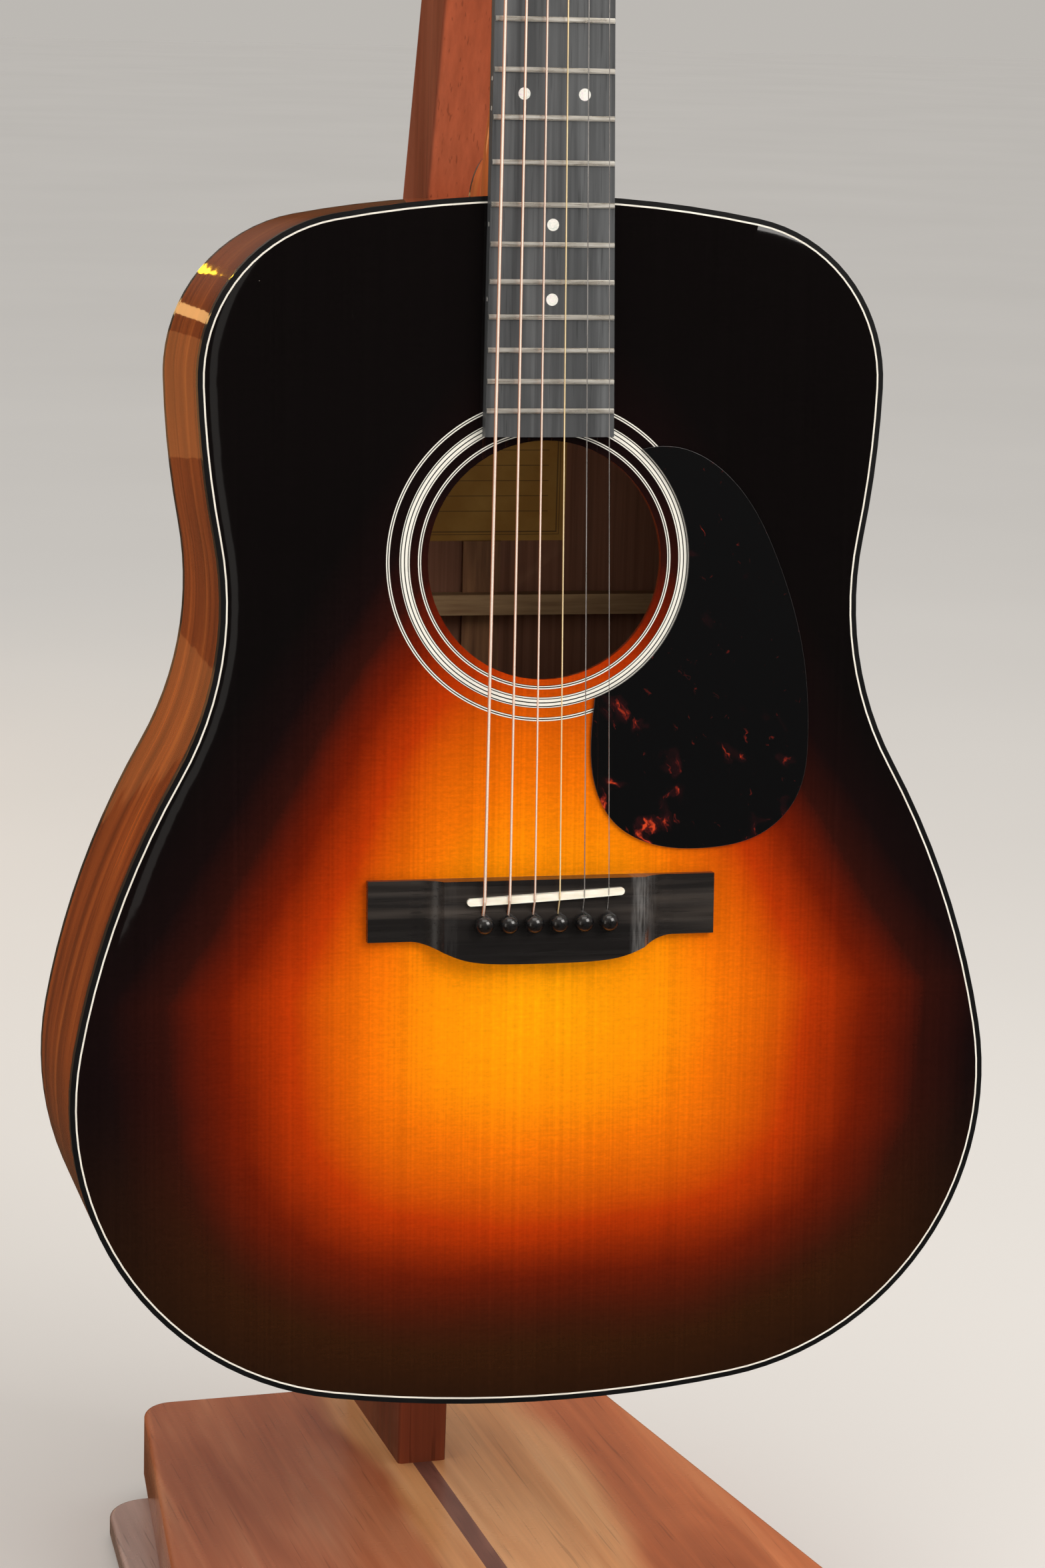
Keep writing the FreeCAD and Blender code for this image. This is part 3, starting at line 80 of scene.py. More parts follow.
# ================================================================ node building
class Net:
    """A material with a Principled shader, and short calls that add nodes in front of it."""

    def __init__(self, name, **sockets):
        self.material = bpy.data.materials.new(name)
        self.material.use_nodes = True
        self.tree = self.material.node_tree
        self.tree.nodes.clear()
        out = self.tree.nodes.new("ShaderNodeOutputMaterial")
        self.shader = self.tree.nodes.new("ShaderNodeBsdfPrincipled")
        self.tree.links.new(self.shader.outputs[0], out.inputs[0])
        self.set(**sockets)

    def set(self, **sockets):
        for name, value in sockets.items():
            self.feed(self.shader.inputs[name.replace("_", " ")], value)
        return self

    def feed(self, socket, value):
        if isinstance(value, bpy.types.NodeSocket):
            self.tree.links.new(value, socket)
        else:
            socket.default_value = value

    def node(self, kind, inputs=(), **props):
        made = self.tree.nodes.new("ShaderNode" + kind)
        for name, value in props.items():
            setattr(made, name, value)
        for key, value in dict(inputs).items():
            self.feed(made.inputs[key], value)
        return made

    def place(self):
        return self.node("TexCoord").outputs["Object"]

    def guitar(self):
        """Position in the guitar's own frame."""
        return self.map(self.place(), ORIGIN, (LEAN, 0, TURN), (1, 1, 1), "TEXTURE")

    def map(self, vector, location=(0, 0, 0), rotation=(0, 0, 0), scale=(1, 1, 1), kind="POINT"):
        inputs = {"Vector": vector, "Location": location, "Rotation": rotation, "Scale": scale}
        return self.node("Mapping", inputs, vector_type=kind).outputs[0]

    def split(self, vector):
        return self.node("SeparateXYZ", {0: vector}).outputs

    def join(self, x, y, z):
        return self.node("CombineXYZ", {0: x, 1: y, 2: z}).outputs[0]

    def math(self, op, a, b=0.0, c=0.0):
        return self.node("Math", {0: a, 1: b, 2: c}, operation=op).outputs[0]

    def vmath(self, op, a, b=(0, 0, 0)):
        made = self.node("VectorMath", {0: a, 1: b}, operation=op)
        return made.outputs["Value" if op in ("DOT_PRODUCT", "LENGTH") else "Vector"]

    def noise(self, vector, scale, detail=3.0, rough=0.5, distort=0.0):
        inputs = {"Vector": vector, "Scale": scale, "Detail": detail, "Roughness": rough}
        return self.node("TexNoise", {**inputs, "Distortion": distort}).outputs["Fac"]

    def cells(self, vector, scale, feature="F1"):
        made = self.node("TexVoronoi", {"Vector": vector, "Scale": scale}, feature=feature)
        return made.outputs["Distance"]

    def range(self, value, low, high, to_low=0.0, to_high=1.0, smooth=False):
        made = self.node("MapRange", {0: value, 1: low, 2: high, 3: to_low, 4: to_high}, clamp=True,
                         interpolation_type="SMOOTHSTEP" if smooth else "LINEAR")
        return made.outputs[0]

    def ramp(self, value, stops, mode="LINEAR"):
        made = self.node("ValToRGB", {0: value})
        made.color_ramp.interpolation = mode
        slots = made.color_ramp.elements
        while len(slots) < len(stops):
            slots.new(0.5)
        for slot, (position, colour) in zip(slots, stops):
            slot.position = position
            slot.color = colour
        return made.outputs[0]

    def fade(self, value, dark, light):
        """A 0-1 pattern as a blend between two colours, given as 0-255 display values."""
        return self.ramp(value, [(0.3, srgb(*dark)), (0.7, srgb(*light))])

    def mix(self, fac, a, b, mode="MIX"):
        made = self.node("Mix", data_type="RGBA", blend_type=mode)
        self.feed(made.inputs[0], fac)
        self.feed(made.inputs[6], a)
        self.feed(made.inputs[7], b)
        return made.outputs[2]

    def shade(self, colour, value, low, high):
        """colour made darker or lighter by a 0-1 pattern."""
        level = self.range(value, 0.0, 1.0, low, high)
        return self.mix(1.0, colour, self.join(level, level, level), "MULTIPLY")

    def bump(self, height, strength, distance, normal=None):
        inputs = {"Strength": strength, "Distance": distance, "Height": height}
        if normal is not None:
            inputs["Normal"] = normal
        return self.node("Bump", inputs).outputs[0]

    def normal(self):
        return self.node("NewGeometry").outputs["Normal"]


MATERIALS = {}


def material(maker):
    """Makes a material once, on first use."""
    if maker not in MATERIALS:
        MATERIALS[maker] = maker().material
    return MATERIALS[maker]


# ================================================================ lacquered woods of the guitar
# amber, orange, red, brown and black, from the burst's middle out, at shares of BURST_SPAN
BURST = [(0.0, srgb(255, 160, 5)), (0.2, srgb(250, 140, 5)), (0.3, srgb(230, 110, 5)),
         (0.45, srgb(170, 50, 5)), (0.55, srgb(105, 25, 5)), (0.65, srgb(45, 15, 10)),
         (0.75, srgb(20, 10, 10)), (0.9, srgb(12, 9, 9))]
BURST_SPAN = 2.2
BURST_X = 0.0046
BURST_Z = 0.179
BURST_HALF_WIDTH = 0.1143
BURST_NARROWING = 0.2516                              # the height over which it narrows by a factor e
BURST_BELOW = 0.102
BURST_EXTRA_ABOVE = 0.039
BURST_POWER = 2.88                                    # 2 would be an ellipse, more is squarer
ROLL_REACH = 0.0085                                   # how far in from the rim the lacquer rolls down
ROLL_DROP = 0.0017


def edge_distance(net, x, z):
    """Distance in from the body's outline, good to about 60 mm from the edge."""
    half = net.math("ABSOLUTE", x)
    px, pz, heading = 0.0, 0.0, 0.0
    nearest = 0.2
    for radius, sweep in OUTLINE:
        turn = math.copysign(math.radians(sweep), radius)
        cx, cz = px - radius * math.sin(heading), pz + radius * math.cos(heading)
        middle = heading + turn / 2
        px, pz = cx + radius * math.sin(heading + turn), cz - radius * math.cos(heading + turn)
        heading += turn
        away = net.join(net.math("SUBTRACT", half, cx), 0.0, net.math("SUBTRACT", z, cz))
        far = net.vmath("LENGTH", away)
        sign = math.copysign(1.0, radius)
        facing = net.vmath("DOT_PRODUCT", away, (sign * math.sin(middle), 0.0, -sign * math.cos(middle)))
        outside = net.math("LESS_THAN", facing, net.math("MULTIPLY", far, math.cos(turn / 2)))
        gap = net.math("MULTIPLY", net.math("SUBTRACT", abs(radius), far), sign)
        nearest = net.math("MINIMUM", nearest, net.math("ADD", net.math("ABSOLUTE", gap), outside))
    return nearest


def spruce_burst():
    net = Net("spruce_burst", Specular_IOR_Level=0.0, Coat_Weight=1.0, Coat_Roughness=0.05, Coat_IOR=1.48)
    at = net.guitar()
    x, y, z = net.split(at)
    haze = net.noise(at, 9.0, 3.0)
    # egg-shaped bands of colour round a centre below the bridge, narrowing towards the neck
    above = net.math("MAXIMUM", net.math("SUBTRACT", z, BURST_Z), 0.0)
    narrowing = net.math("POWER", math.e, net.math("MULTIPLY", above, -1 / BURST_NARROWING))
    width = net.math("MULTIPLY", narrowing, BURST_HALF_WIDTH)
    across = net.math("DIVIDE", net.math("ABSOLUTE", net.math("SUBTRACT", x, BURST_X)), width)
    reach = net.math("MULTIPLY_ADD", net.math("GREATER_THAN", z, BURST_Z), BURST_EXTRA_ABOVE, BURST_BELOW)
    along = net.math("DIVIDE", net.math("ABSOLUTE", net.math("SUBTRACT", z, BURST_Z)), reach)
    power = net.math("ADD", net.math("POWER", across, BURST_POWER), net.math("POWER", along, BURST_POWER))
    t = net.math("POWER", power, 1 / BURST_POWER)
    t = net.math("ADD", t, net.range(haze, 0.3, 0.7, -0.045, 0.045))
    burst = net.ramp(net.math("DIVIDE", t, BURST_SPAN), BURST)
    # painted sheen: near the tail the burst's dark outer bands are painted brown instead of near black
    low = net.range(z, 0.03, 0.15, 1.0, 0.0, True)
    tail = net.math("MULTIPLY", low, net.range(t, 1.05, 1.5, 0.0, 1.0))
    lower_sheen = net.ramp(net.range(t, 1.05, 1.95), tones((85, 25, 10), (50, 25, 10), (20, 15, 10)))
    burst = net.mix(tail, burst, lower_sheen)
    # annual rings run along the body, closest at the centre joint, mirrored left and right
    half = net.math("ABSOLUTE", x)
    sway = net.math("MULTIPLY_ADD", net.noise(net.map(at, scale=(14, 1, 3)), 1.0, 2.0), 0.004, half)
    fine_place = net.join(net.math("MULTIPLY", sway, 850.0), 0.0, net.math("MULTIPLY", z, 2.4))
    rings = net.noise(fine_place, 1.0, 1.0, 0.5)
    broad_place = net.join(net.math("MULTIPLY", sway, 170.0), 0.0, net.math("MULTIPLY", z, 1.6))
    broad = net.noise(broad_place, 1.0, 2.0, 0.5)
    silk = net.noise(net.map(at, scale=(420, 1, 900)), 1.0, 2.0, 0.7)
    rays = net.noise(net.map(at, scale=(60, 1, 700)), 1.0, 3.0, 0.6)
    glow = net.noise(net.map(at, scale=(6, 1, 11)), 1.0, 2.0, 0.6)
    side = net.range(x, -0.0006, 0.0006, 1.0, 0.0)
    colour = net.shade(burst, net.range(rings, 0.32, 0.68), 0.90, 1.04)
    colour = net.shade(colour, net.range(broad, 0.25, 0.75), 0.95, 1.03)
    colour = net.shade(colour, net.range(silk, 0.3, 0.7), 0.89, 1.08)
    colour = net.shade(colour, net.range(rays, 0.35, 0.65), 0.94, 1.04)
    colour = net.shade(colour, net.range(glow, 0.3, 0.7), 0.95, 1.05)
    colour = net.shade(colour, side, 0.975, 1.03)
    facing = net.vmath("DOT_PRODUCT", net.normal(), tuple(OUTWARD))
    edge = net.range(net.math("ABSOLUTE", facing), 0.5, 0.8)
    colour = net.mix(edge, net.shade(srgb(120, 40, 12), rings, 0.7, 1.1), colour)
    underside = net.shade(srgb(196, 160, 112), rings, 0.8, 1.05)
    colour = net.mix(net.math("LESS_THAN", facing, -0.5), colour, underside)
    dust = net.range(net.cells(at, 46.0), 0.0, 0.012, 1.0, 0.0)
    dust = net.math("MULTIPLY", dust, net.math("GREATER_THAN", net.noise(at, 31.0), 0.6))
    colour = net.mix(net.math("MULTIPLY", dust, 0.35), colour, srgb(190, 180, 165))
    # the lacquer rolls down over the last centimetres to the rim, which bends what it reflects
    roll = net.math("POWER", math.e, net.math("MULTIPLY", edge_distance(net, x, z), -1 / ROLL_REACH))
    rim = net.bump(net.math("MULTIPLY", roll, -1.0), 1.0, ROLL_DROP)
    peel = net.bump(net.noise(at, 60.0, 2.0), 0.003, 0.02, rim)
    net.set(Base_Color=colour, Coat_Normal=peel, Normal=net.bump(rings, 0.03, 0.0004))
    net.set(Roughness=net.range(haze, 0.3, 0.7, 0.38, 0.5))
    return net


def red_mahogany(name, fine, soft):
    """Glossy red-brown wood, raw where it faces into the body. fine and soft stretch its two grains."""
    net = Net(name, Specular_IOR_Level=0.0, Coat_Weight=1.0, Coat_Roughness=0.03, Coat_IOR=1.42)
    at = net.guitar()
    fibres = net.noise(net.map(at, scale=fine), 1.0, 4.0, 0.65)
    figure = net.noise(net.map(at, scale=soft), 1.0, 3.0, 0.6, 0.6)
    ribbon = net.noise(at, 16.0, 2.0, 0.5)
    colour = net.ramp(net.range(figure, 0.25, 0.75), [(0.0, srgb(104, 42, 14)), (0.45, srgb(154, 68, 24)),
                                                      (0.75, srgb(184, 88, 34)), (1.0, srgb(206, 110, 46))])
    colour = net.shade(colour, net.range(fibres, 0.3, 0.7), 0.72, 1.1)
    colour = net.shade(colour, net.range(ribbon, 0.3, 0.7), 0.84, 1.1)
    pores = net.range(net.noise(net.map(at, scale=tuple(4 * s for s in fine)), 1.0, 1.0), 0.62, 0.7)
    colour = net.mix(net.math("MULTIPLY", pores, 0.45), colour, srgb(58, 18, 8))
    middle = HUNG @ Vector((0, 0.05, 0.27))
    outward = net.vmath("DOT_PRODUCT", net.normal(), net.vmath("SUBTRACT", net.place(), tuple(middle)))
    raw = net.shade(srgb(150, 104, 82), net.range(fibres, 0.3, 0.7), 0.72, 1.1)
    inner = net.math("LESS_THAN", outward, 0.0)
    net.set(Base_Color=net.mix(inner, colour, raw))
    net.set(Coat_Normal=net.bump(net.noise(at, 40.0, 1.0), 0.004, 0.02))
    net.set(Roughness=net.range(figure, 0.3, 0.7, 0.35, 0.5), Normal=net.bump(fibres, 0.08, 0.0004))
    return net


def mahogany_side():
    return red_mahogany("mahogany_side", (5, 420, 5), (3, 46, 3))


def mahogany_back():
    return red_mahogany("mahogany_back", (420, 60, 5), (38, 6, 2))


def neck_wood():
    net = Net("neck_wood", Specular_IOR_Level=0.1, Coat_Weight=0.6, Coat_Roughness=0.06)
    at = net.guitar()
    fibres = net.noise(net.map(at, scale=(420, 420, 6)), 1.0, 4.0, 0.65)
    figure = net.noise(net.map(at, scale=(60, 60, 2.5)), 1.0, 3.0, 0.6, 0.5)
    colour = net.ramp(net.range(figure, 0.3, 0.7), tones((78, 32, 16), (108, 50, 25), (138, 70, 36)))
    colour = net.shade(colour, net.range(fibres, 0.3, 0.7), 0.65, 1.12)
    x, y, z = net.split(at)
    heel = net.fade(figure, (206, 92, 30), (246, 142, 62))
    heel = net.shade(heel, net.range(fibres, 0.3, 0.7), 0.75, 1.1)
    colour = net.mix(net.range(z, 0.53, 0.62, 1.0, 0.0, True), colour, heel)
    hand = net.math("MULTIPLY", net.range(z, 0.62, 0.66), net.range(z, 0.80, 0.84, 1.0, 0.0))
    satin = net.range(fibres, 0.3, 0.7, 0.38, 0.5)
    net.set(Base_Color=colour, Roughness=net.math("MULTIPLY_ADD", hand, -0.12, satin))
    net.set(Normal=net.bump(fibres, 0.15, 0.0005))
    return net


def raw_wood(name, dark, light, stretch):
    net = Net(name)
    at = net.guitar()
    fibres = net.noise(net.map(at, scale=stretch), 1.0, 4.0, 0.6)
    figure = net.noise(net.map(at, scale=tuple(s / 9 for s in stretch)), 1.0, 2.0)
    colour = net.mix(net.range(fibres, 0.3, 0.7), dark, light)
    colour = net.shade(colour, net.range(figure, 0.3, 0.7), 0.82, 1.1)
    net.set(Base_Color=colour, Roughness=net.range(fibres, 0.3, 0.7, 0.7, 0.85))
    net.set(Normal=net.bump(fibres, 0.2, 0.0005))
    return net


def brace_spruce():
    return raw_wood("brace_spruce", srgb(150, 112, 74), srgb(200, 164, 118), (20, 260, 260))


def strip_wood():
    return raw_wood("strip_wood", srgb(128, 84, 54), srgb(182, 130, 88), (300, 300, 14))


def inner_mahogany():
    return raw_wood("inner_mahogany", srgb(92, 54, 36), srgb(140, 90, 62), (300, 300, 12))


# ================================================================ trim, ebony, bone and plastics
def black_binding():
    net = Net("black_binding", Roughness=0.3, Coat_Weight=1.0, Coat_Roughness=0.04)
    at = net.guitar()
    swirl = net.noise(at, 45.0, 4.0)
    net.set(Base_Color=net.fade(swirl, (9, 9, 10), (19, 18, 19)))
    net.set(Coat_Normal=net.bump(net.noise(at, 90.0), 0.015, 0.01))
    return net


def white_line():
    net = Net("white_line", Coat_Weight=1.0, Coat_Roughness=0.05)
    at = net.guitar()
    age = net.noise(at, 25.0, 3.0)
    net.set(Base_Color=net.fade(age, (222, 216, 204), (238, 234, 224)))
    net.set(Roughness=net.range(age, 0.3, 0.7, 0.3, 0.42))
    return net


# radii in millimetres of the rosette's white plies; the rings' pattern is drawn on the span given
WHITE_PLIES = ((52.75, 53.2), (53.65, 54.1), (57.65, 58.05), (58.5, 59.6), (60.05, 61.15), (61.6, 61.95),
               (66.15, 66.6), (67.1, 67.55))
PLIES_FROM = 50
PLIES_SPAN = 20


def rosette_plies():
    """White and black plies in three groups of rings round the hole."""
    net = Net("rosette_plies", Roughness=0.35, Coat_Weight=1.0, Coat_Roughness=0.04)
    at = net.guitar()
    x, y, z = net.split(at)
    away = net.vmath("LENGTH", net.join(x, 0.0, net.math("SUBTRACT", z, HOLE_Z)))
    white, black = srgb(236, 234, 224), srgb(13, 12, 12)
    stops = [(0.0, black)]
    for start, end in WHITE_PLIES:
        stops.append(((start - PLIES_FROM) / PLIES_SPAN, white))
        stops.append(((end - PLIES_FROM) / PLIES_SPAN, black))
    band = net.range(away, PLIES_FROM / 1000, (PLIES_FROM + PLIES_SPAN) / 1000)
    pattern = net.ramp(band, stops, "CONSTANT")
    wear_and_reflection = net.noise(at, 220.0, 2.0)
    net.set(Base_Color=net.shade(pattern, wear_and_reflection, 0.9, 1.04), Roughness=net.range(wear_and_reflection, 0.3, 0.7, 0.3, 0.4))
    return net


def ebony(name, dark, mid, light, gloss, across=900, pore=0.35, along="Z", mirror=0.35):
    net = Net(name, Specular_IOR_Level=mirror)
    at = net.guitar()
    if along == "X":
        x, y, z = net.split(at)
        at = net.join(z, y, x)
    fine = net.noise(net.map(at, scale=(across, across, 9)), 1.0, 3.0, 0.6)
    broad = net.noise(net.map(at, scale=(across / 7, across / 7, 4)), 1.0, 3.0, 0.6, 0.4)
    colour = net.ramp(net.range(broad, 0.28, 0.72), [(0.0, dark), (0.5, mid), (1.0, light)])
    colour = net.shade(colour, net.range(fine, 0.3, 0.7), 0.82, 1.14)
    pores = net.range(net.noise(net.map(at, scale=(across * 2, across * 2, 40)), 1.0, 1.0), 0.64, 0.72)
    colour = net.mix(net.math("MULTIPLY", pores, pore), colour, tuple(c * 0.3 for c in dark[:3]) + (1.0,))
    net.set(Base_Color=colour, Roughness=net.range(fine, 0.3, 0.7, gloss - 0.05, gloss + 0.06))
    grain = net.math("SUBTRACT", fine, pores)
    net.set(Normal=net.bump(grain, 0.12, 0.0004))
    return net


def board_ebony():
    # grey ebony, its cool bluish tint a painted reflection of pale window light
    return ebony("board_ebony", srgb(54, 55, 57), srgb(74, 76, 78), srgb(98, 100, 102), 0.40, 620)


def bridge_ebony():
    """Dark wood with a painted pale reflection in the two scoops where the wings begin, most of all on the
    treble side.
    """
    tint = (srgb(18, 17, 17), srgb(31, 28, 27), srgb(70, 63, 58))
    net = ebony("bridge_ebony", *tint, 0.25, 420, 0.3, "X", 0.5)
    at = net.guitar()
    x = net.split(at)[0]
    half = net.math("ABSOLUTE", x)
    # painted reflection: pale grey streaks in the scoops, strongest on the treble side
    begins = net.range(half, 0.0365, 0.0395, 0.0, 1.0, True)
    scoop = net.math("MULTIPLY", begins, net.range(half, 0.042, 0.051, 1.0, 0.0, True))
    scoop = net.math("MULTIPLY", scoop, net.range(x, -0.01, 0.01, 0.05, 0.5))
    streaks = net.range(net.noise(net.map(at, scale=(900, 1, 70)), 1.0, 3.0, 0.6), 0.32, 0.66)
    wear_and_reflection = net.math("MULTIPLY", scoop, streaks)
    wood = net.shader.inputs["Base Color"].links[0].from_socket
    return net.set(Base_Color=net.mix(wear_and_reflection, wood, srgb(128, 126, 125)))


def head_ebony():
    return ebony("head_ebony", srgb(24, 20, 19), srgb(38, 32, 30), srgb(58, 46, 40), 0.22, 600, mirror=0.12)


def bone():
    net = Net("bone", Subsurface_Weight=0.15, Subsurface_Scale=0.002)
    at = net.guitar()
    grain = net.noise(net.map(at, scale=(90, 400, 400)), 1.0, 3.0)
    net.set(Base_Color=net.fade(grain, (222, 214, 194), (246, 242, 230)))
    net.set(Roughness=net.range(grain, 0.3, 0.7, 0.25, 0.4), Normal=net.bump(grain, 0.05, 0.0003))
    return net


def pin_plastic():
    net = Net("pin_plastic", Coat_Weight=0.8, Coat_Roughness=0.08)
    at = net.guitar()
    rub = net.noise(at, 700.0, 3.0)
    net.set(Base_Color=net.fade(rub, (10, 10, 11), (24, 23, 24)))
    net.set(Roughness=net.range(rub, 0.3, 0.7, 0.22, 0.36))
    return net


def tortoise():
    """Almost black plastic with glowing red-brown islands, most of them in its lower inner part."""
    net = Net("tortoise", Specular_IOR_Level=0.1, Coat_Weight=1.0, Coat_Roughness=0.04, Roughness=0.35)
    at = net.guitar()
    x, y, z = net.split(at)
    flat = net.join(x, 0.0, z)
    warp = net.math("SUBTRACT", net.noise(flat, 40.0, 4.0, 0.6), 0.5)
    drift = net.join(net.math("MULTIPLY", warp, 0.030), 0.0, net.math("MULTIPLY", warp, -0.022))
    moved = net.vmath("ADD", flat, drift)
    cloud = net.noise(moved, 62.0, 2.0, 0.5)
    flakes = net.noise(net.map(moved, rotation=(0, 0.6, 0), scale=(330, 1, 150)), 1.0, 3.0, 0.65, 0.5)
    low = net.range(z, 0.238, 0.32, 0.0, 0.10)
    inward = net.range(x, 0.035, 0.10, 0.0, 0.07)
    limit = net.math("ADD", 0.50, net.math("ADD", low, inward))
    field = net.range(net.math("SUBTRACT", cloud, limit), 0.0, 0.12)
    spots = net.range(net.math("MULTIPLY_ADD", field, 0.26, flakes), 0.67, 0.84)
    veil = net.mix(field, srgb(8, 8, 9), srgb(38, 10, 13))
    colour = net.mix(net.range(spots, 0.0, 0.5), veil, srgb(92, 20, 13))
    colour = net.mix(net.range(spots, 0.5, 1.1), colour, srgb(206, 66, 28))
    # painted highlight: the rim's bevel is painted a little paler than the face
    facing = net.vmath("DOT_PRODUCT", net.normal(), tuple(OUTWARD))
    rim = net.range(net.math("ABSOLUTE", net.math("SUBTRACT", facing, 0.72)), 0.05, 0.24, 1.0, 0.0, True)
    colour = net.mix(net.math("MULTIPLY", rim, 0.6), colour, srgb(150, 146, 148))
    net.set(Base_Color=colour, Coat_Normal=net.bump(net.noise(at, 70.0), 0.01, 0.01))
    return net


def pearl():
    net = Net("pearl", Coat_Weight=1.0, Coat_Roughness=0.06)
    at = net.guitar()
    play = net.noise(at, 420.0, 3.0, 0.6, 1.5)
    stops = [(0.3, srgb(206, 214, 208)), (0.5, srgb(240, 238, 230)), (0.7, srgb(226, 214, 220))]
    net.set(Base_Color=net.ramp(play, stops))
    net.set(Roughness=net.range(play, 0.3, 0.7, 0.2, 0.35))
    return net


def fret_metal():
    net = Net("fret_metal", Metallic=0.75)
    at = net.guitar()
    wear = net.noise(net.map(at, scale=(60, 900, 900)), 1.0, 3.0)
    net.set(Base_Color=net.fade(wear, (206, 198, 184), (244, 240, 232)))
    net.set(Roughness=net.range(wear, 0.3, 0.7, 0.24, 0.36), Normal=net.bump(wear, 0.03, 0.0002))
    return net


def front_facing(net):
    """1 where a surface faces the way the soundboard does, 0 at its sides."""
    facing = net.vmath("DOT_PRODUCT", net.normal(), tuple(OUTWARD))
    return net.range(facing, 0.55, 0.92, 0.0, 1.0, True)


def wound(name, pitch, edge, front_highlight):
    """Round wire wrapped in fine metal windings, with a painted highlight on the side that faces out the way
    the soundboard does, and painted shade in the grooves between the turns.
    """
    net = Net(name, Metallic=0.3)
    at = net.guitar()
    x, y, z = net.split(at)
    turns = net.math("SINE", net.math("MULTIPLY", z, 2 * math.pi / pitch))
    tarnish = net.noise(net.map(at, scale=(1, 1, 0.2)), 120.0, 3.0)
    # painted highlight: the outward-facing side is painted near white
    colour = net.mix(front_facing(net), edge, front_highlight)
    colour = net.shade(colour, net.range(tarnish, 0.3, 0.7), 0.9, 1.04)
    # painted shade in the grooves between the turns
    colour = net.shade(colour, net.range(turns, -1.0, 0.0), 0.82, 1.0)
    net.set(Base_Color=colour, Roughness=net.range(tarnish, 0.3, 0.7, 0.3, 0.42))
    net.set(Normal=net.bump(turns, 0.3, pitch * 0.2))
    return net


def wound_bronze():
    return wound("wound_bronze", 0.00050, srgb(222, 140, 98), srgb(255, 236, 220))


def wound_brass():
    return wound("wound_brass", 0.00036, srgb(214, 160, 84), srgb(255, 236, 190))


def plain_wire():
    net = Net("plain_wire", Metallic=0.8)
    drawn = net.noise(net.map(net.guitar(), scale=(900, 900, 30)), 1.0, 2.0)
    net.set(Base_Color=net.fade(drawn, (176, 174, 172), (232, 230, 228)))
    net.set(Roughness=net.range(drawn, 0.3, 0.7, 0.2, 0.32))
    return net


def chrome():
    net = Net("chrome", Metallic=1.0)
    smear = net.noise(net.place(), 90.0, 4.0, 0.6)
    net.set(Base_Color=net.fade(smear, (196, 196, 198), (232, 232, 234)))
    net.set(Roughness=net.range(smear, 0.3, 0.7, 0.06, 0.16))
    return net


def screw_metal():
    net = Net("screw_metal", Metallic=1.0)
    grit = net.noise(net.place(), 500.0, 3.0)
    net.set(Base_Color=net.fade(grit, (150, 150, 152), (198, 198, 200)))
    net.set(Roughness=net.range(grit, 0.3, 0.7, 0.25, 0.4))
    return net


LABEL_X = -0.0035
LABEL_Z = 0.38975
LABEL_HALF_WIDE = 0.0385
LABEL_HALF_TALL = 0.02725
LABEL_ROW = 0.0068                                    # from one ruled line to the next


def paper():
    """Plain label with a ruled border and a few ruled lines."""
    net = Net("paper", Roughness=0.85)
    at = net.guitar()
    x, y, z = net.split(at)
    in_x = net.math("SUBTRACT", LABEL_HALF_WIDE, net.math("ABSOLUTE", net.math("SUBTRACT", x, LABEL_X)))
    in_z = net.math("SUBTRACT", LABEL_HALF_TALL, net.math("ABSOLUTE", net.math("SUBTRACT", z, LABEL_Z)))
    inset = net.math("MINIMUM", in_x, in_z)
    outer = net.math("COMPARE", inset, 0.0028, 0.00018)
    border = net.math("MAXIMUM", outer, net.math("COMPARE", inset, 0.004, 0.0003))
    rows = net.math("GREATER_THAN", net.math("SINE", net.math("MULTIPLY", z, 2 * math.pi / LABEL_ROW)), 0.985)
    rows = net.math("MULTIPLY", rows, net.math("GREATER_THAN", inset, 0.008))
    age = net.noise(at, 60.0, 4.0)
    colour = net.fade(age, (178, 128, 54), (200, 152, 74))
    ink = net.math("MAXIMUM", border, rows)
    net.set(Base_Color=net.mix(net.math("MULTIPLY", ink, 0.7), colour, srgb(92, 66, 40)))
    net.set(Normal=net.bump(net.noise(at, 900.0), 0.1, 0.0003))
    return net


# ================================================================ the stand
def stand_wood(name, stops, stretch, broad, gloss, coat):
    net = Net(name, Coat_Weight=coat, Coat_Roughness=0.18)
    at = net.place()
    fibres = net.noise(net.map(at, scale=stretch), 1.0, 4.0, 0.65)
    figure = net.noise(net.map(at, scale=broad), 1.0, 3.0, 0.55, 0.5)
    colour = net.ramp(net.range(figure, 0.28, 0.72), stops)
    colour = net.shade(colour, net.range(fibres, 0.3, 0.7), 0.80, 1.08)
    pores = net.range(net.noise(net.map(at, scale=tuple(3 * s for s in stretch)), 1.0, 1.0), 0.66, 0.72)
    colour = net.shade(colour, pores, 1.0, 0.7)
    scuffs = net.range(net.noise(at, 14.0, 4.0, 0.7), 0.55, 0.75)
    net.set(Base_Color=colour, Normal=net.bump(fibres, 0.08, 0.0005))
    polish = net.range(fibres, 0.3, 0.7, gloss - 0.05, gloss + 0.05)
    net.set(Roughness=net.math("MULTIPLY_ADD", scuffs, 0.2, polish))
    return net


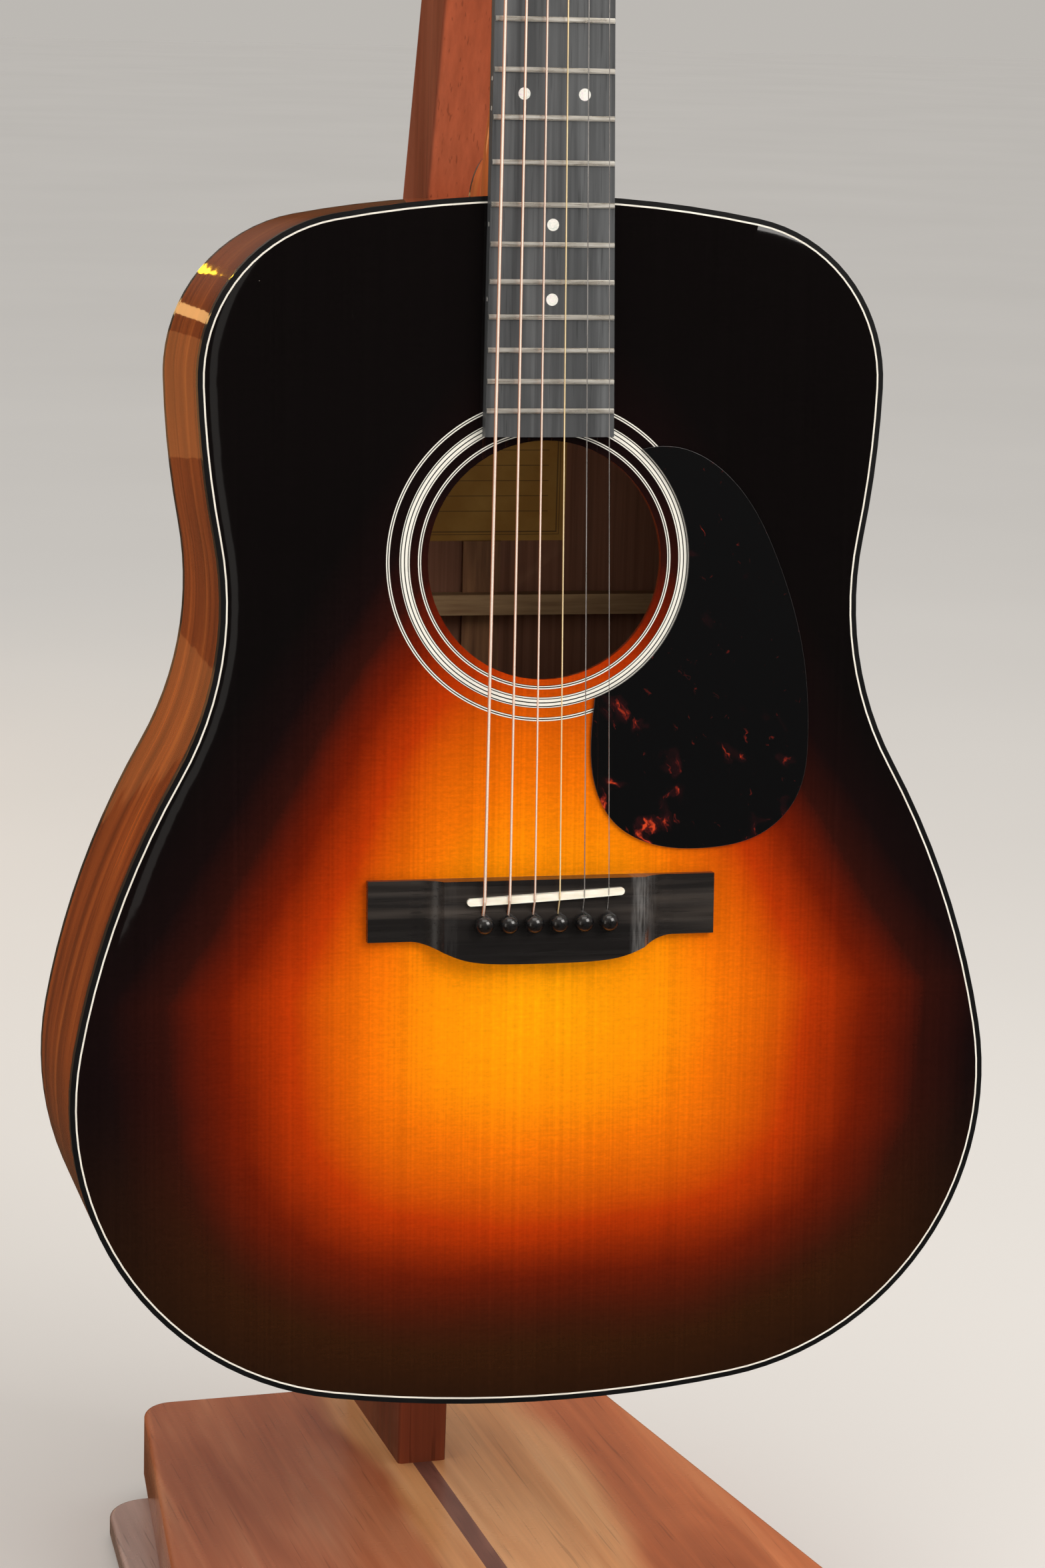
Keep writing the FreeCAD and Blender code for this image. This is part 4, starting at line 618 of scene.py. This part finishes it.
def post_cherry():
    """Plank sawn across its growth rings, with painted shade on its sideways-facing faces so its front and
    back look paler, and darker towards its foot.
    """
    net = stand_wood("post_cherry", tones((128, 62, 38), (166, 84, 54), (192, 106, 74)),
                     (260, 260, 5), (24, 24, 2.2), 0.42, 0.1)
    net.set(Specular_IOR_Level=0.12)
    sideways = net.math("ABSOLUTE", net.split(net.normal())[0])
    wood = net.shader.inputs["Base Color"].links[0].from_socket
    # darker towards its foot
    wood = net.shade(wood, net.range(net.split(net.place())[2], 0.06, 0.30), 0.68, 1.0)
    # painted shade on the faces that point sideways
    return net.set(Base_Color=net.shade(wood, net.range(sideways, 0.45, 0.9), 1.0, 0.55))


def plinth_wood():
    return stand_wood("plinth_wood", tones((150, 112, 100), (176, 140, 128), (204, 172, 160)),
                      (200, 8, 200), (14, 3, 14), 0.22, 1.0)


def inlay_wood():
    return stand_wood("inlay_wood", tones((104, 64, 54), (132, 84, 70), (164, 112, 92)),
                      (420, 16, 420), (60, 9, 60), 0.4, 0.3)


def base_cherry():
    """Board with a pale band along its middle, red-brown wood on its left and orange-brown on its right."""
    net = Net("base_cherry", Specular_IOR_Level=0.3, Coat_Weight=0.3, Coat_Roughness=0.22)
    at = net.place()
    x, y, z = net.split(at)
    sway = net.math("MULTIPLY_ADD", net.noise(net.map(at, scale=(5, 3.2, 5)), 1.0, 3.0, 0.6), 0.075, -0.0375)
    across = net.math("ADD", x, sway)
    left = net.range(across, -0.030, -0.014, 0.0, 1.0, True)
    right = net.range(across, 0.060, 0.082, 1.0, 0.0, True)
    pale = net.math("MULTIPLY", left, right)
    fibres = net.noise(net.map(at, scale=(330, 6, 330)), 1.0, 4.0, 0.65)
    figure = net.noise(net.map(at, scale=(26, 2.6, 26)), 1.0, 3.0, 0.6, 0.7)
    red = net.ramp(net.range(figure, 0.28, 0.72), tones((158, 78, 44), (184, 106, 68), (206, 138, 98)))
    tan = net.ramp(net.range(figure, 0.28, 0.72), tones((172, 88, 44), (202, 112, 62), (220, 136, 84)))
    honey = net.ramp(net.range(figure, 0.28, 0.72), tones((212, 144, 88), (230, 168, 112), (242, 190, 138)))
    colour = net.mix(pale, net.mix(net.range(x, 0.0, 0.02), red, tan), honey)
    colour = net.shade(colour, net.range(fibres, 0.3, 0.7), 0.86, 1.05)
    pores = net.range(net.noise(net.map(at, scale=(900, 18, 900)), 1.0, 1.0), 0.66, 0.72)
    colour = net.shade(colour, pores, 1.0, 0.75)
    low = net.range(z, 0.030, 0.0445)
    colour = net.shade(colour, low, 0.62, 1.0)
    scuffs = net.range(net.noise(at, 11.0, 5.0, 0.7), 0.5, 0.75)
    net.set(Base_Color=colour, Normal=net.bump(fibres, 0.06, 0.0005))
    net.set(Roughness=net.math("MULTIPLY_ADD", scuffs, 0.22, 0.27))
    return net


def foot_rubber():
    net = Net("foot_rubber")
    grit = net.noise(net.place(), 700.0, 4.0)
    net.set(Base_Color=net.fade(grit, (24, 24, 25), (44, 43, 43)), Roughness=0.8)
    net.set(Normal=net.bump(grit, 0.4, 0.0004))
    return net


def pad_leather():
    net = Net("pad_leather")
    at = net.place()
    cells = net.cells(at, 700.0, "DISTANCE_TO_EDGE")
    wear_and_reflection = net.noise(at, 60.0, 4.0)
    net.set(Base_Color=net.fade(wear_and_reflection, (44, 27, 19), (82, 52, 36)))
    net.set(Roughness=net.range(wear_and_reflection, 0.3, 0.7, 0.45, 0.65), Normal=net.bump(cells, 0.5, 0.0004))
    return net


def waxed_thread():
    net = Net("waxed_thread", Roughness=0.55, Sheen_Weight=0.3)
    twist = net.noise(net.place(), 2600.0, 2.0)
    net.set(Base_Color=net.fade(twist, (150, 118, 80), (206, 178, 136)))
    net.set(Normal=net.bump(twist, 0.4, 0.0002))
    return net


PAINT = {
    spruce_burst: ["soundboard"],
    mahogany_side: ["side_bass", "side_treble"],
    mahogany_back: ["back_plate"],
    neck_wood: ["neck"],
    brace_spruce: ["top_braces", "back_braces"],
    strip_wood: ["back_centre_strip"],
    inner_mahogany: ["neck_block", "tail_block", "kerfed_linings", "bridge_plate"],
    black_binding: ["top_binding", "back_binding", "heel_cap", "truss_cover"],
    white_line: ["top_purfling"],
    rosette_plies: ["rosette_rings"],
    board_ebony: ["fingerboard"],
    bridge_ebony: ["bridge"],
    head_ebony: ["headplate"],
    bone: ["saddle", "nut"],
    pin_plastic: ["bridge_pins", "end_pin"],
    tortoise: ["pickguard"],
    pearl: ["position_dots"],
    fret_metal: ["frets"],
    wound_bronze: ["string_4", "string_5", "string_6"],
    wound_brass: ["string_3"],
    plain_wire: ["string_1", "string_2"],
    chrome: ["tuner_housings", "tuner_bushings"] + ["string_post_%d" % n for n in range(1, 7)]
            + ["tuner_key_%d" % n for n in range(1, 7)],
    screw_metal: ["small_screws", "stand_screws", "truss_rod", "swivel_bolt"],
    paper: ["paper_label"],
    post_cherry: ["post", "yoke"],
    base_cherry: ["base_board"],
    inlay_wood: ["base_inlay"],
    plinth_wood: ["base_plinth"],
    foot_rubber: ["base_feet"],
    pad_leather: ["yoke_pads"],
}
for maker, names in PAINT.items():
    for name in names:
        NODES[name].data.materials.clear()
        NODES[name].data.materials.append(material(maker))


# ================================================================ pieces made here
def add_piece(name, mesh, makers, body, stands_for=()):
    made = bpy.data.objects.new(name, mesh)
    bpy.context.scene.collection.objects.link(made)
    mesh.materials.clear()
    for maker in makers:
        mesh.materials.append(material(maker))
    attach(made, body)
    if stands_for:
        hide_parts(*stands_for)
    return made


WELD = 2e-6                                           # vertices closer than this are one
FLAT = 0.02                                           # radians between faces that count as one plane


def copy_shell(node):
    """The node's surface as one clean closed mesh, its flat faces whole again."""
    bm = bmesh.new()
    bm.from_mesh(NODES[node].data)
    bmesh.ops.remove_doubles(bm, verts=bm.verts, dist=WELD)
    bmesh.ops.dissolve_limit(bm, angle_limit=FLAT, verts=bm.verts, edges=bm.edges)
    return bm


def mesh_of(bm, name):
    """The finished mesh, shaded smooth. It uses bm up."""
    mesh = bpy.data.meshes.new(name)
    bm.to_mesh(mesh)
    bm.free()
    for face in mesh.polygons:
        face.use_smooth = True
    return mesh


def make_pickguard():
    """Thin plate with a bevelled, polished rim."""
    bm = copy_shell("pickguard")
    rim = [e for e in bm.edges if len(e.link_faces) == 2
           and max(f.normal.dot(OUTWARD) for f in e.link_faces) > 0.9
           and min(f.normal.dot(OUTWARD) for f in e.link_faces) < 0.5]
    bmesh.ops.bevel(bm, geom=rim, offset=0.0012, segments=3, affect="EDGES", profile=0.6, clamp_overlap=True)
    mesh = mesh_of(bm, "pickguard_plate")
    made = add_piece("pickguard_plate", mesh, [tortoise], "guitar", ["pickguard"])
    weighted = made.modifiers.new("even shading", "WEIGHTED_NORMAL")
    weighted.keep_sharp = True


def tube(bm, points, radius, sides):
    """Adds a round tube along the points, closed and slightly domed at both ends."""
    rings = []
    aim = (points[1] - points[0]).normalized()
    across = aim.orthogonal().normalized()
    for index, point in enumerate(points):
        ahead = points[min(index + 1, len(points) - 1)] - points[max(index - 1, 0)]
        ahead.normalize()
        across = (across - ahead * across.dot(ahead)).normalized()
        beside = ahead.cross(across)
        ring = []
        for step in range(sides):
            turn = 2 * math.pi * step / sides
            ring.append(bm.verts.new(point + (across * math.cos(turn) + beside * math.sin(turn)) * radius))
        rings.append(ring)
    for low, high in zip(rings, rings[1:]):
        for step in range(sides):
            after = (step + 1) % sides
            bm.faces.new((low[step], low[after], high[after], high[step]))
    ends = ((rings[0], points[0], points[0] - points[1]), (rings[-1], points[-1], points[-1] - points[-2]))
    for ring, point, way in ends:
        tip = bm.verts.new(point + way.normalized() * radius * 0.5)
        for step in range(sides):
            after = (step + 1) % sides
            pair = (ring[after], ring[step]) if ring is rings[0] else (ring[step], ring[after])
            bm.faces.new((*pair, tip))


# ---------------------------------------------------------------- leather of the yoke
YOKE = Matrix.Translation((0.004023, 0.025, 0)) @ Matrix.Rotation(TURN, 4, "Z")
PAD_TOP = 1.0295
PAD_INNER = 0.027
THROAT = -0.082                                       # where the throat's straight sides meet its round end
STITCH_OUT = 0.0062
STITCH_END = -0.101
STITCH_DIPS = (-0.0005, 0.0001, 0.0002, 0.0001, -0.0005)
THREAD_R = 0.00038


def throat_path(out, y_end, step):
    """Points along the yoke's U-shaped throat, out from its inner face, in the yoke's frame."""
    points, wide = [], PAD_INNER + out
    straight = abs(y_end - THROAT)
    count = round(straight / step)
    for index in range(count):
        points.append(Vector((-wide, y_end + straight * index / count, 0)))
    count = round(math.pi * wide / step)
    for index in range(count + 1):
        turn = math.pi * (1 - index / count)
        points.append(Vector((wide * math.cos(turn), THROAT + wide * math.sin(turn), 0)))
    count = round(straight / step)
    for index in range(1, count + 1):
        points.append(Vector((wide, THROAT - straight * index / count, 0)))
    return points


def make_leather():
    """Folded leather liner, softly rounded where it turns over the yoke's edge, with a row of stitches."""
    mesh = mesh_of(copy_shell("yoke_pads"), "yoke_leather")
    made = add_piece("yoke_leather", mesh, [pad_leather], "yoke", ["yoke_pads"])
    remesh = made.modifiers.new("skin", "REMESH")
    remesh.mode = "VOXEL"
    remesh.voxel_size = 0.0009
    remesh.use_smooth_shade = True
    soft = made.modifiers.new("soft edges", "SMOOTH")
    soft.factor, soft.iterations = 0.5, 9
    stitches = bmesh.new()
    path = throat_path(STITCH_OUT, STITCH_END, 0.0011)
    for first in range(0, len(path) - 4, 5):
        thread = [YOKE @ (path[first + k] + Vector((0, 0, PAD_TOP + dip)))
                  for k, dip in enumerate(STITCH_DIPS)]
        tube(stitches, thread, THREAD_R, 6)
    add_piece("yoke_stitches", mesh_of(stitches, "yoke_stitches"), [waxed_thread], "yoke")


# ---------------------------------------------------------------- strings wound round their posts
# in the head's frame: Y into the head from its face, Z from the nut to the tip
PEG_ROWS = (0.045, 0.087, 0.129)
STRING_RADII = (0.00068, 0.00053, 0.00041, 0.00031, 0.00022, 0.00016)      # from string 6 to string 1
POST_R = 0.003
COIL_FOOT = -0.0096
COIL_SPREAD = 0.001                                   # the coils don't all start at one height
HOLE_DEPTH = -0.0105
STUB = ((-0.0035, 0.0), (0.0, 0.0), (0.0035, 0.0), (0.0052, 0.0004), (0.0064, 0.0013))
STEPS_PER_TURN = 22


def make_windings():
    """A few turns of each string round its post, and its cut end standing out of the post's hole."""
    inverse = HEAD.inverted()
    for index, radius in enumerate(STRING_RADII):
        number = 6 - index
        low, high = [Vector(corner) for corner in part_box("string_post_%d" % number)]
        row = PEG_ROWS[index if index < 3 else 5 - index]
        corners = [inverse @ Vector((x, y, z))
                   for x in (low.x, high.x) for y in (low.y, high.y) for z in (low.z, high.z)]
        axis_x = sum(c.x for c in corners) / 8
        side = -1 if index < 3 else 1
        turns = 3.0 if index < 3 else 5.0
        steps = round(turns * STEPS_PER_TURN)
        lane = POST_R + radius
        first = COIL_FOOT + COIL_SPREAD * (0.3 * index % 1) + 2.25 * radius
        coil = []
        for step in range(steps + 1):
            share = step / steps
            turn = math.pi * 0.5 - 2 * math.pi * turns * share
            depth = first + 2.05 * radius * turns * share
            around = Vector((axis_x - side * lane * math.sin(turn), depth, row + lane * math.cos(turn)))
            coil.append(HEAD @ around)
        bm = bmesh.new()
        tube(bm, coil, radius, 8)
        stub = [HEAD @ Vector((axis_x + side * reach, HOLE_DEPTH - lift, row)) for reach, lift in STUB]
        tube(bm, stub, radius, 8)
        maker = wound_bronze if index < 3 else wound_brass if index == 3 else plain_wire
        name = "string_winding_%d" % number
        add_piece(name, mesh_of(bm, name), [maker], "post_%d" % number)


make_pickguard()
make_leather()
make_windings()


# ================================================================ floor, light and camera
FLOOR_TINT = (0.74, 0.725, 0.705)
SKY_TINT = (1.0, 0.975, 0.94)
WORLD_LIGHT = 0.72
FAR_FLOOR = 0.947                                     # how bright the floor's far end is beside its tint
FLOOR_HALF = 30
FLAG_WAY = (0.10, -0.99, -0.05)
FLAG_EDGE = (0.72, 0.90)                              # cosines between which the flag fades in
WALL_RISE = (0.02, 0.24)                              # slopes between which floor glow turns into wall


def build_stage():
    mesh = bpy.data.meshes.new("floor")
    corners = [(x * FLOOR_HALF, y * FLOOR_HALF, 0) for x, y in ((-1, -1), (1, -1), (1, 1), (-1, 1))]
    mesh.from_pydata(corners, [], [(0, 1, 2, 3)])
    floor = bpy.data.objects.new("floor", mesh)
    bpy.context.scene.collection.objects.link(floor)
    net = Net("floor_paint", Roughness=0.75)
    tone = net.noise(net.place(), 1.2, 3.0)
    net.set(Base_Color=net.ramp(tone, [(0.3, tuple(c * 0.98 for c in FLOOR_TINT) + (1,)),
                                       (0.7, tuple(c * 1.02 for c in FLOOR_TINT) + (1,))]))
    mesh.materials.append(net.material)
    floor.visible_glossy = False
    world = bpy.data.worlds.new("studio")
    bpy.context.scene.world = world
    world.use_nodes = True
    tree = world.node_tree
    tree.nodes.clear()

    def background(colour, strength):
        made = tree.nodes.new("ShaderNodeBackground")
        made.inputs[0].default_value, made.inputs[1].default_value = colour, strength
        return made

    def blend(fac, a, b):
        made = tree.nodes.new("ShaderNodeMixShader")
        tree.links.new(fac, made.inputs[0])
        tree.links.new(a.outputs[0], made.inputs[1])
        tree.links.new(b.outputs[0], made.inputs[2])
        return made

    # a dark flag stands straight in front of the glossy soundboard, and pale walls stand all round it
    ray = tree.nodes.new("ShaderNodeTexCoord")
    flag = tree.nodes.new("ShaderNodeVectorMath")
    flag.operation = "DOT_PRODUCT"
    flag.inputs[1].default_value = Vector(FLAG_WAY).normalized()
    edge = tree.nodes.new("ShaderNodeMapRange")
    edge.interpolation_type = "SMOOTHSTEP"
    edge.inputs[1].default_value, edge.inputs[2].default_value = FLAG_EDGE
    tree.links.new(ray.outputs["Generated"], flag.inputs[0])
    tree.links.new(flag.outputs["Value"], edge.inputs[0])
    kind = tree.nodes.new("ShaderNodeLightPath").outputs
    lit = background((*SKY_TINT, 1), WORLD_LIGHT)
    height = tree.nodes.new("ShaderNodeSeparateXYZ")
    walls = tree.nodes.new("ShaderNodeMapRange")
    walls.inputs[1].default_value, walls.inputs[2].default_value = WALL_RISE
    tree.links.new(ray.outputs["Generated"], height.inputs[0])
    tree.links.new(height.outputs["Z"], walls.inputs[0])
    floor_glow = background((1.0, 0.62, 0.36, 1), 0.06)
    round_about = blend(walls.outputs[0], floor_glow, background((1.0, 0.88, 0.78, 1), 0.26))
    mirrored = blend(edge.outputs[0], round_about, background((1.0, 0.95, 0.9, 1), 0.015))
    shown = background((*[a * b for a, b in zip(FLOOR_TINT, SKY_TINT)], 1), WORLD_LIGHT * FAR_FLOOR)
    out = tree.nodes.new("ShaderNodeOutputWorld")
    final = blend(kind["Is Camera Ray"], blend(kind["Is Glossy Ray"], lit, mirrored), shown)
    tree.links.new(final.outputs[0], out.inputs[0])


def softbox(name, at, aim, wide, tall, power, colour=(1.0, 0.96, 0.9), glossy=True):
    light = bpy.data.lights.new(name, "AREA")
    light.shape = "RECTANGLE"
    light.size, light.size_y = wide, tall
    light.energy = power
    light.color = colour
    made = bpy.data.objects.new(name, light)
    bpy.context.scene.collection.objects.link(made)
    made.location = at
    made.rotation_mode = "QUATERNION"
    made.rotation_quaternion = (Vector(aim) - Vector(at)).to_track_quat("-Z", "Y")
    made.visible_glossy = glossy
    made.visible_camera = False


def build_light():
    middle = (0.0, -0.05, 0.45)
    softbox("key", (1.3, -2.1, 2.1), middle, 1.7, 1.5, 51, (1.0, 0.965, 0.92))
    softbox("overhead", (-0.2, -0.9, 3.0), middle, 2.4, 1.6, 22)
    softbox("low_left", (-2.4, -1.3, 0.5), middle, 0.9, 1.6, 5, (1.0, 0.93, 0.85))
    softbox("back_left", (-1.1, 2.3, 0.75), (-0.2, -0.05, 0.4), 0.5, 1.1, 7, (1.0, 0.66, 0.36), False)
    softbox("side_glow", (-0.32, 2.3, 0.36), (-0.14, -0.05, 0.5), 0.26, 0.36, 0.055, (1.0, 0.42, 0.13))
    softbox("side_band", (-0.24, 2.3, 0.645), (-0.14, -0.05, 0.6), 0.16, 0.05, 0.035, (1.0, 0.56, 0.20))
    softbox("shoulder_glint", (-0.05, 2.3, 0.785), (-0.13, -0.05, 0.62), 0.07, 0.022, 0.03, (1.0, 0.58, 0.03))
    softbox("rim_strip", (-0.36, -1.95, 0.80), (-0.15, -0.12, 0.5), 0.13, 1.1, 0.2)


CAMERA_PLACE = (-0.47746, -1.60386, 0.76602)
CAMERA_AHEAD = (0.289647, 0.933455, -0.21158)
CAMERA_RIGHT = (0.956472, -0.290503, 0.027732)
SENSOR = 36
LENS = 87.7755


def build_camera():
    data = bpy.data.cameras.new("view")
    camera = bpy.data.objects.new("view", data)
    bpy.context.scene.collection.objects.link(camera)
    ahead = Vector(CAMERA_AHEAD)
    right = Vector(CAMERA_RIGHT)
    up = right.cross(ahead)
    turn = Matrix((right, up, -ahead)).transposed().to_4x4()
    camera.matrix_world = Matrix.Translation(CAMERA_PLACE) @ turn
    data.sensor_width = SENSOR
    data.lens = LENS
    data.clip_start, data.clip_end = 0.05, 100
    bpy.context.scene.camera = camera
    bpy.context.scene.view_settings.view_transform = "Standard"


build_stage()
build_light()
build_camera()
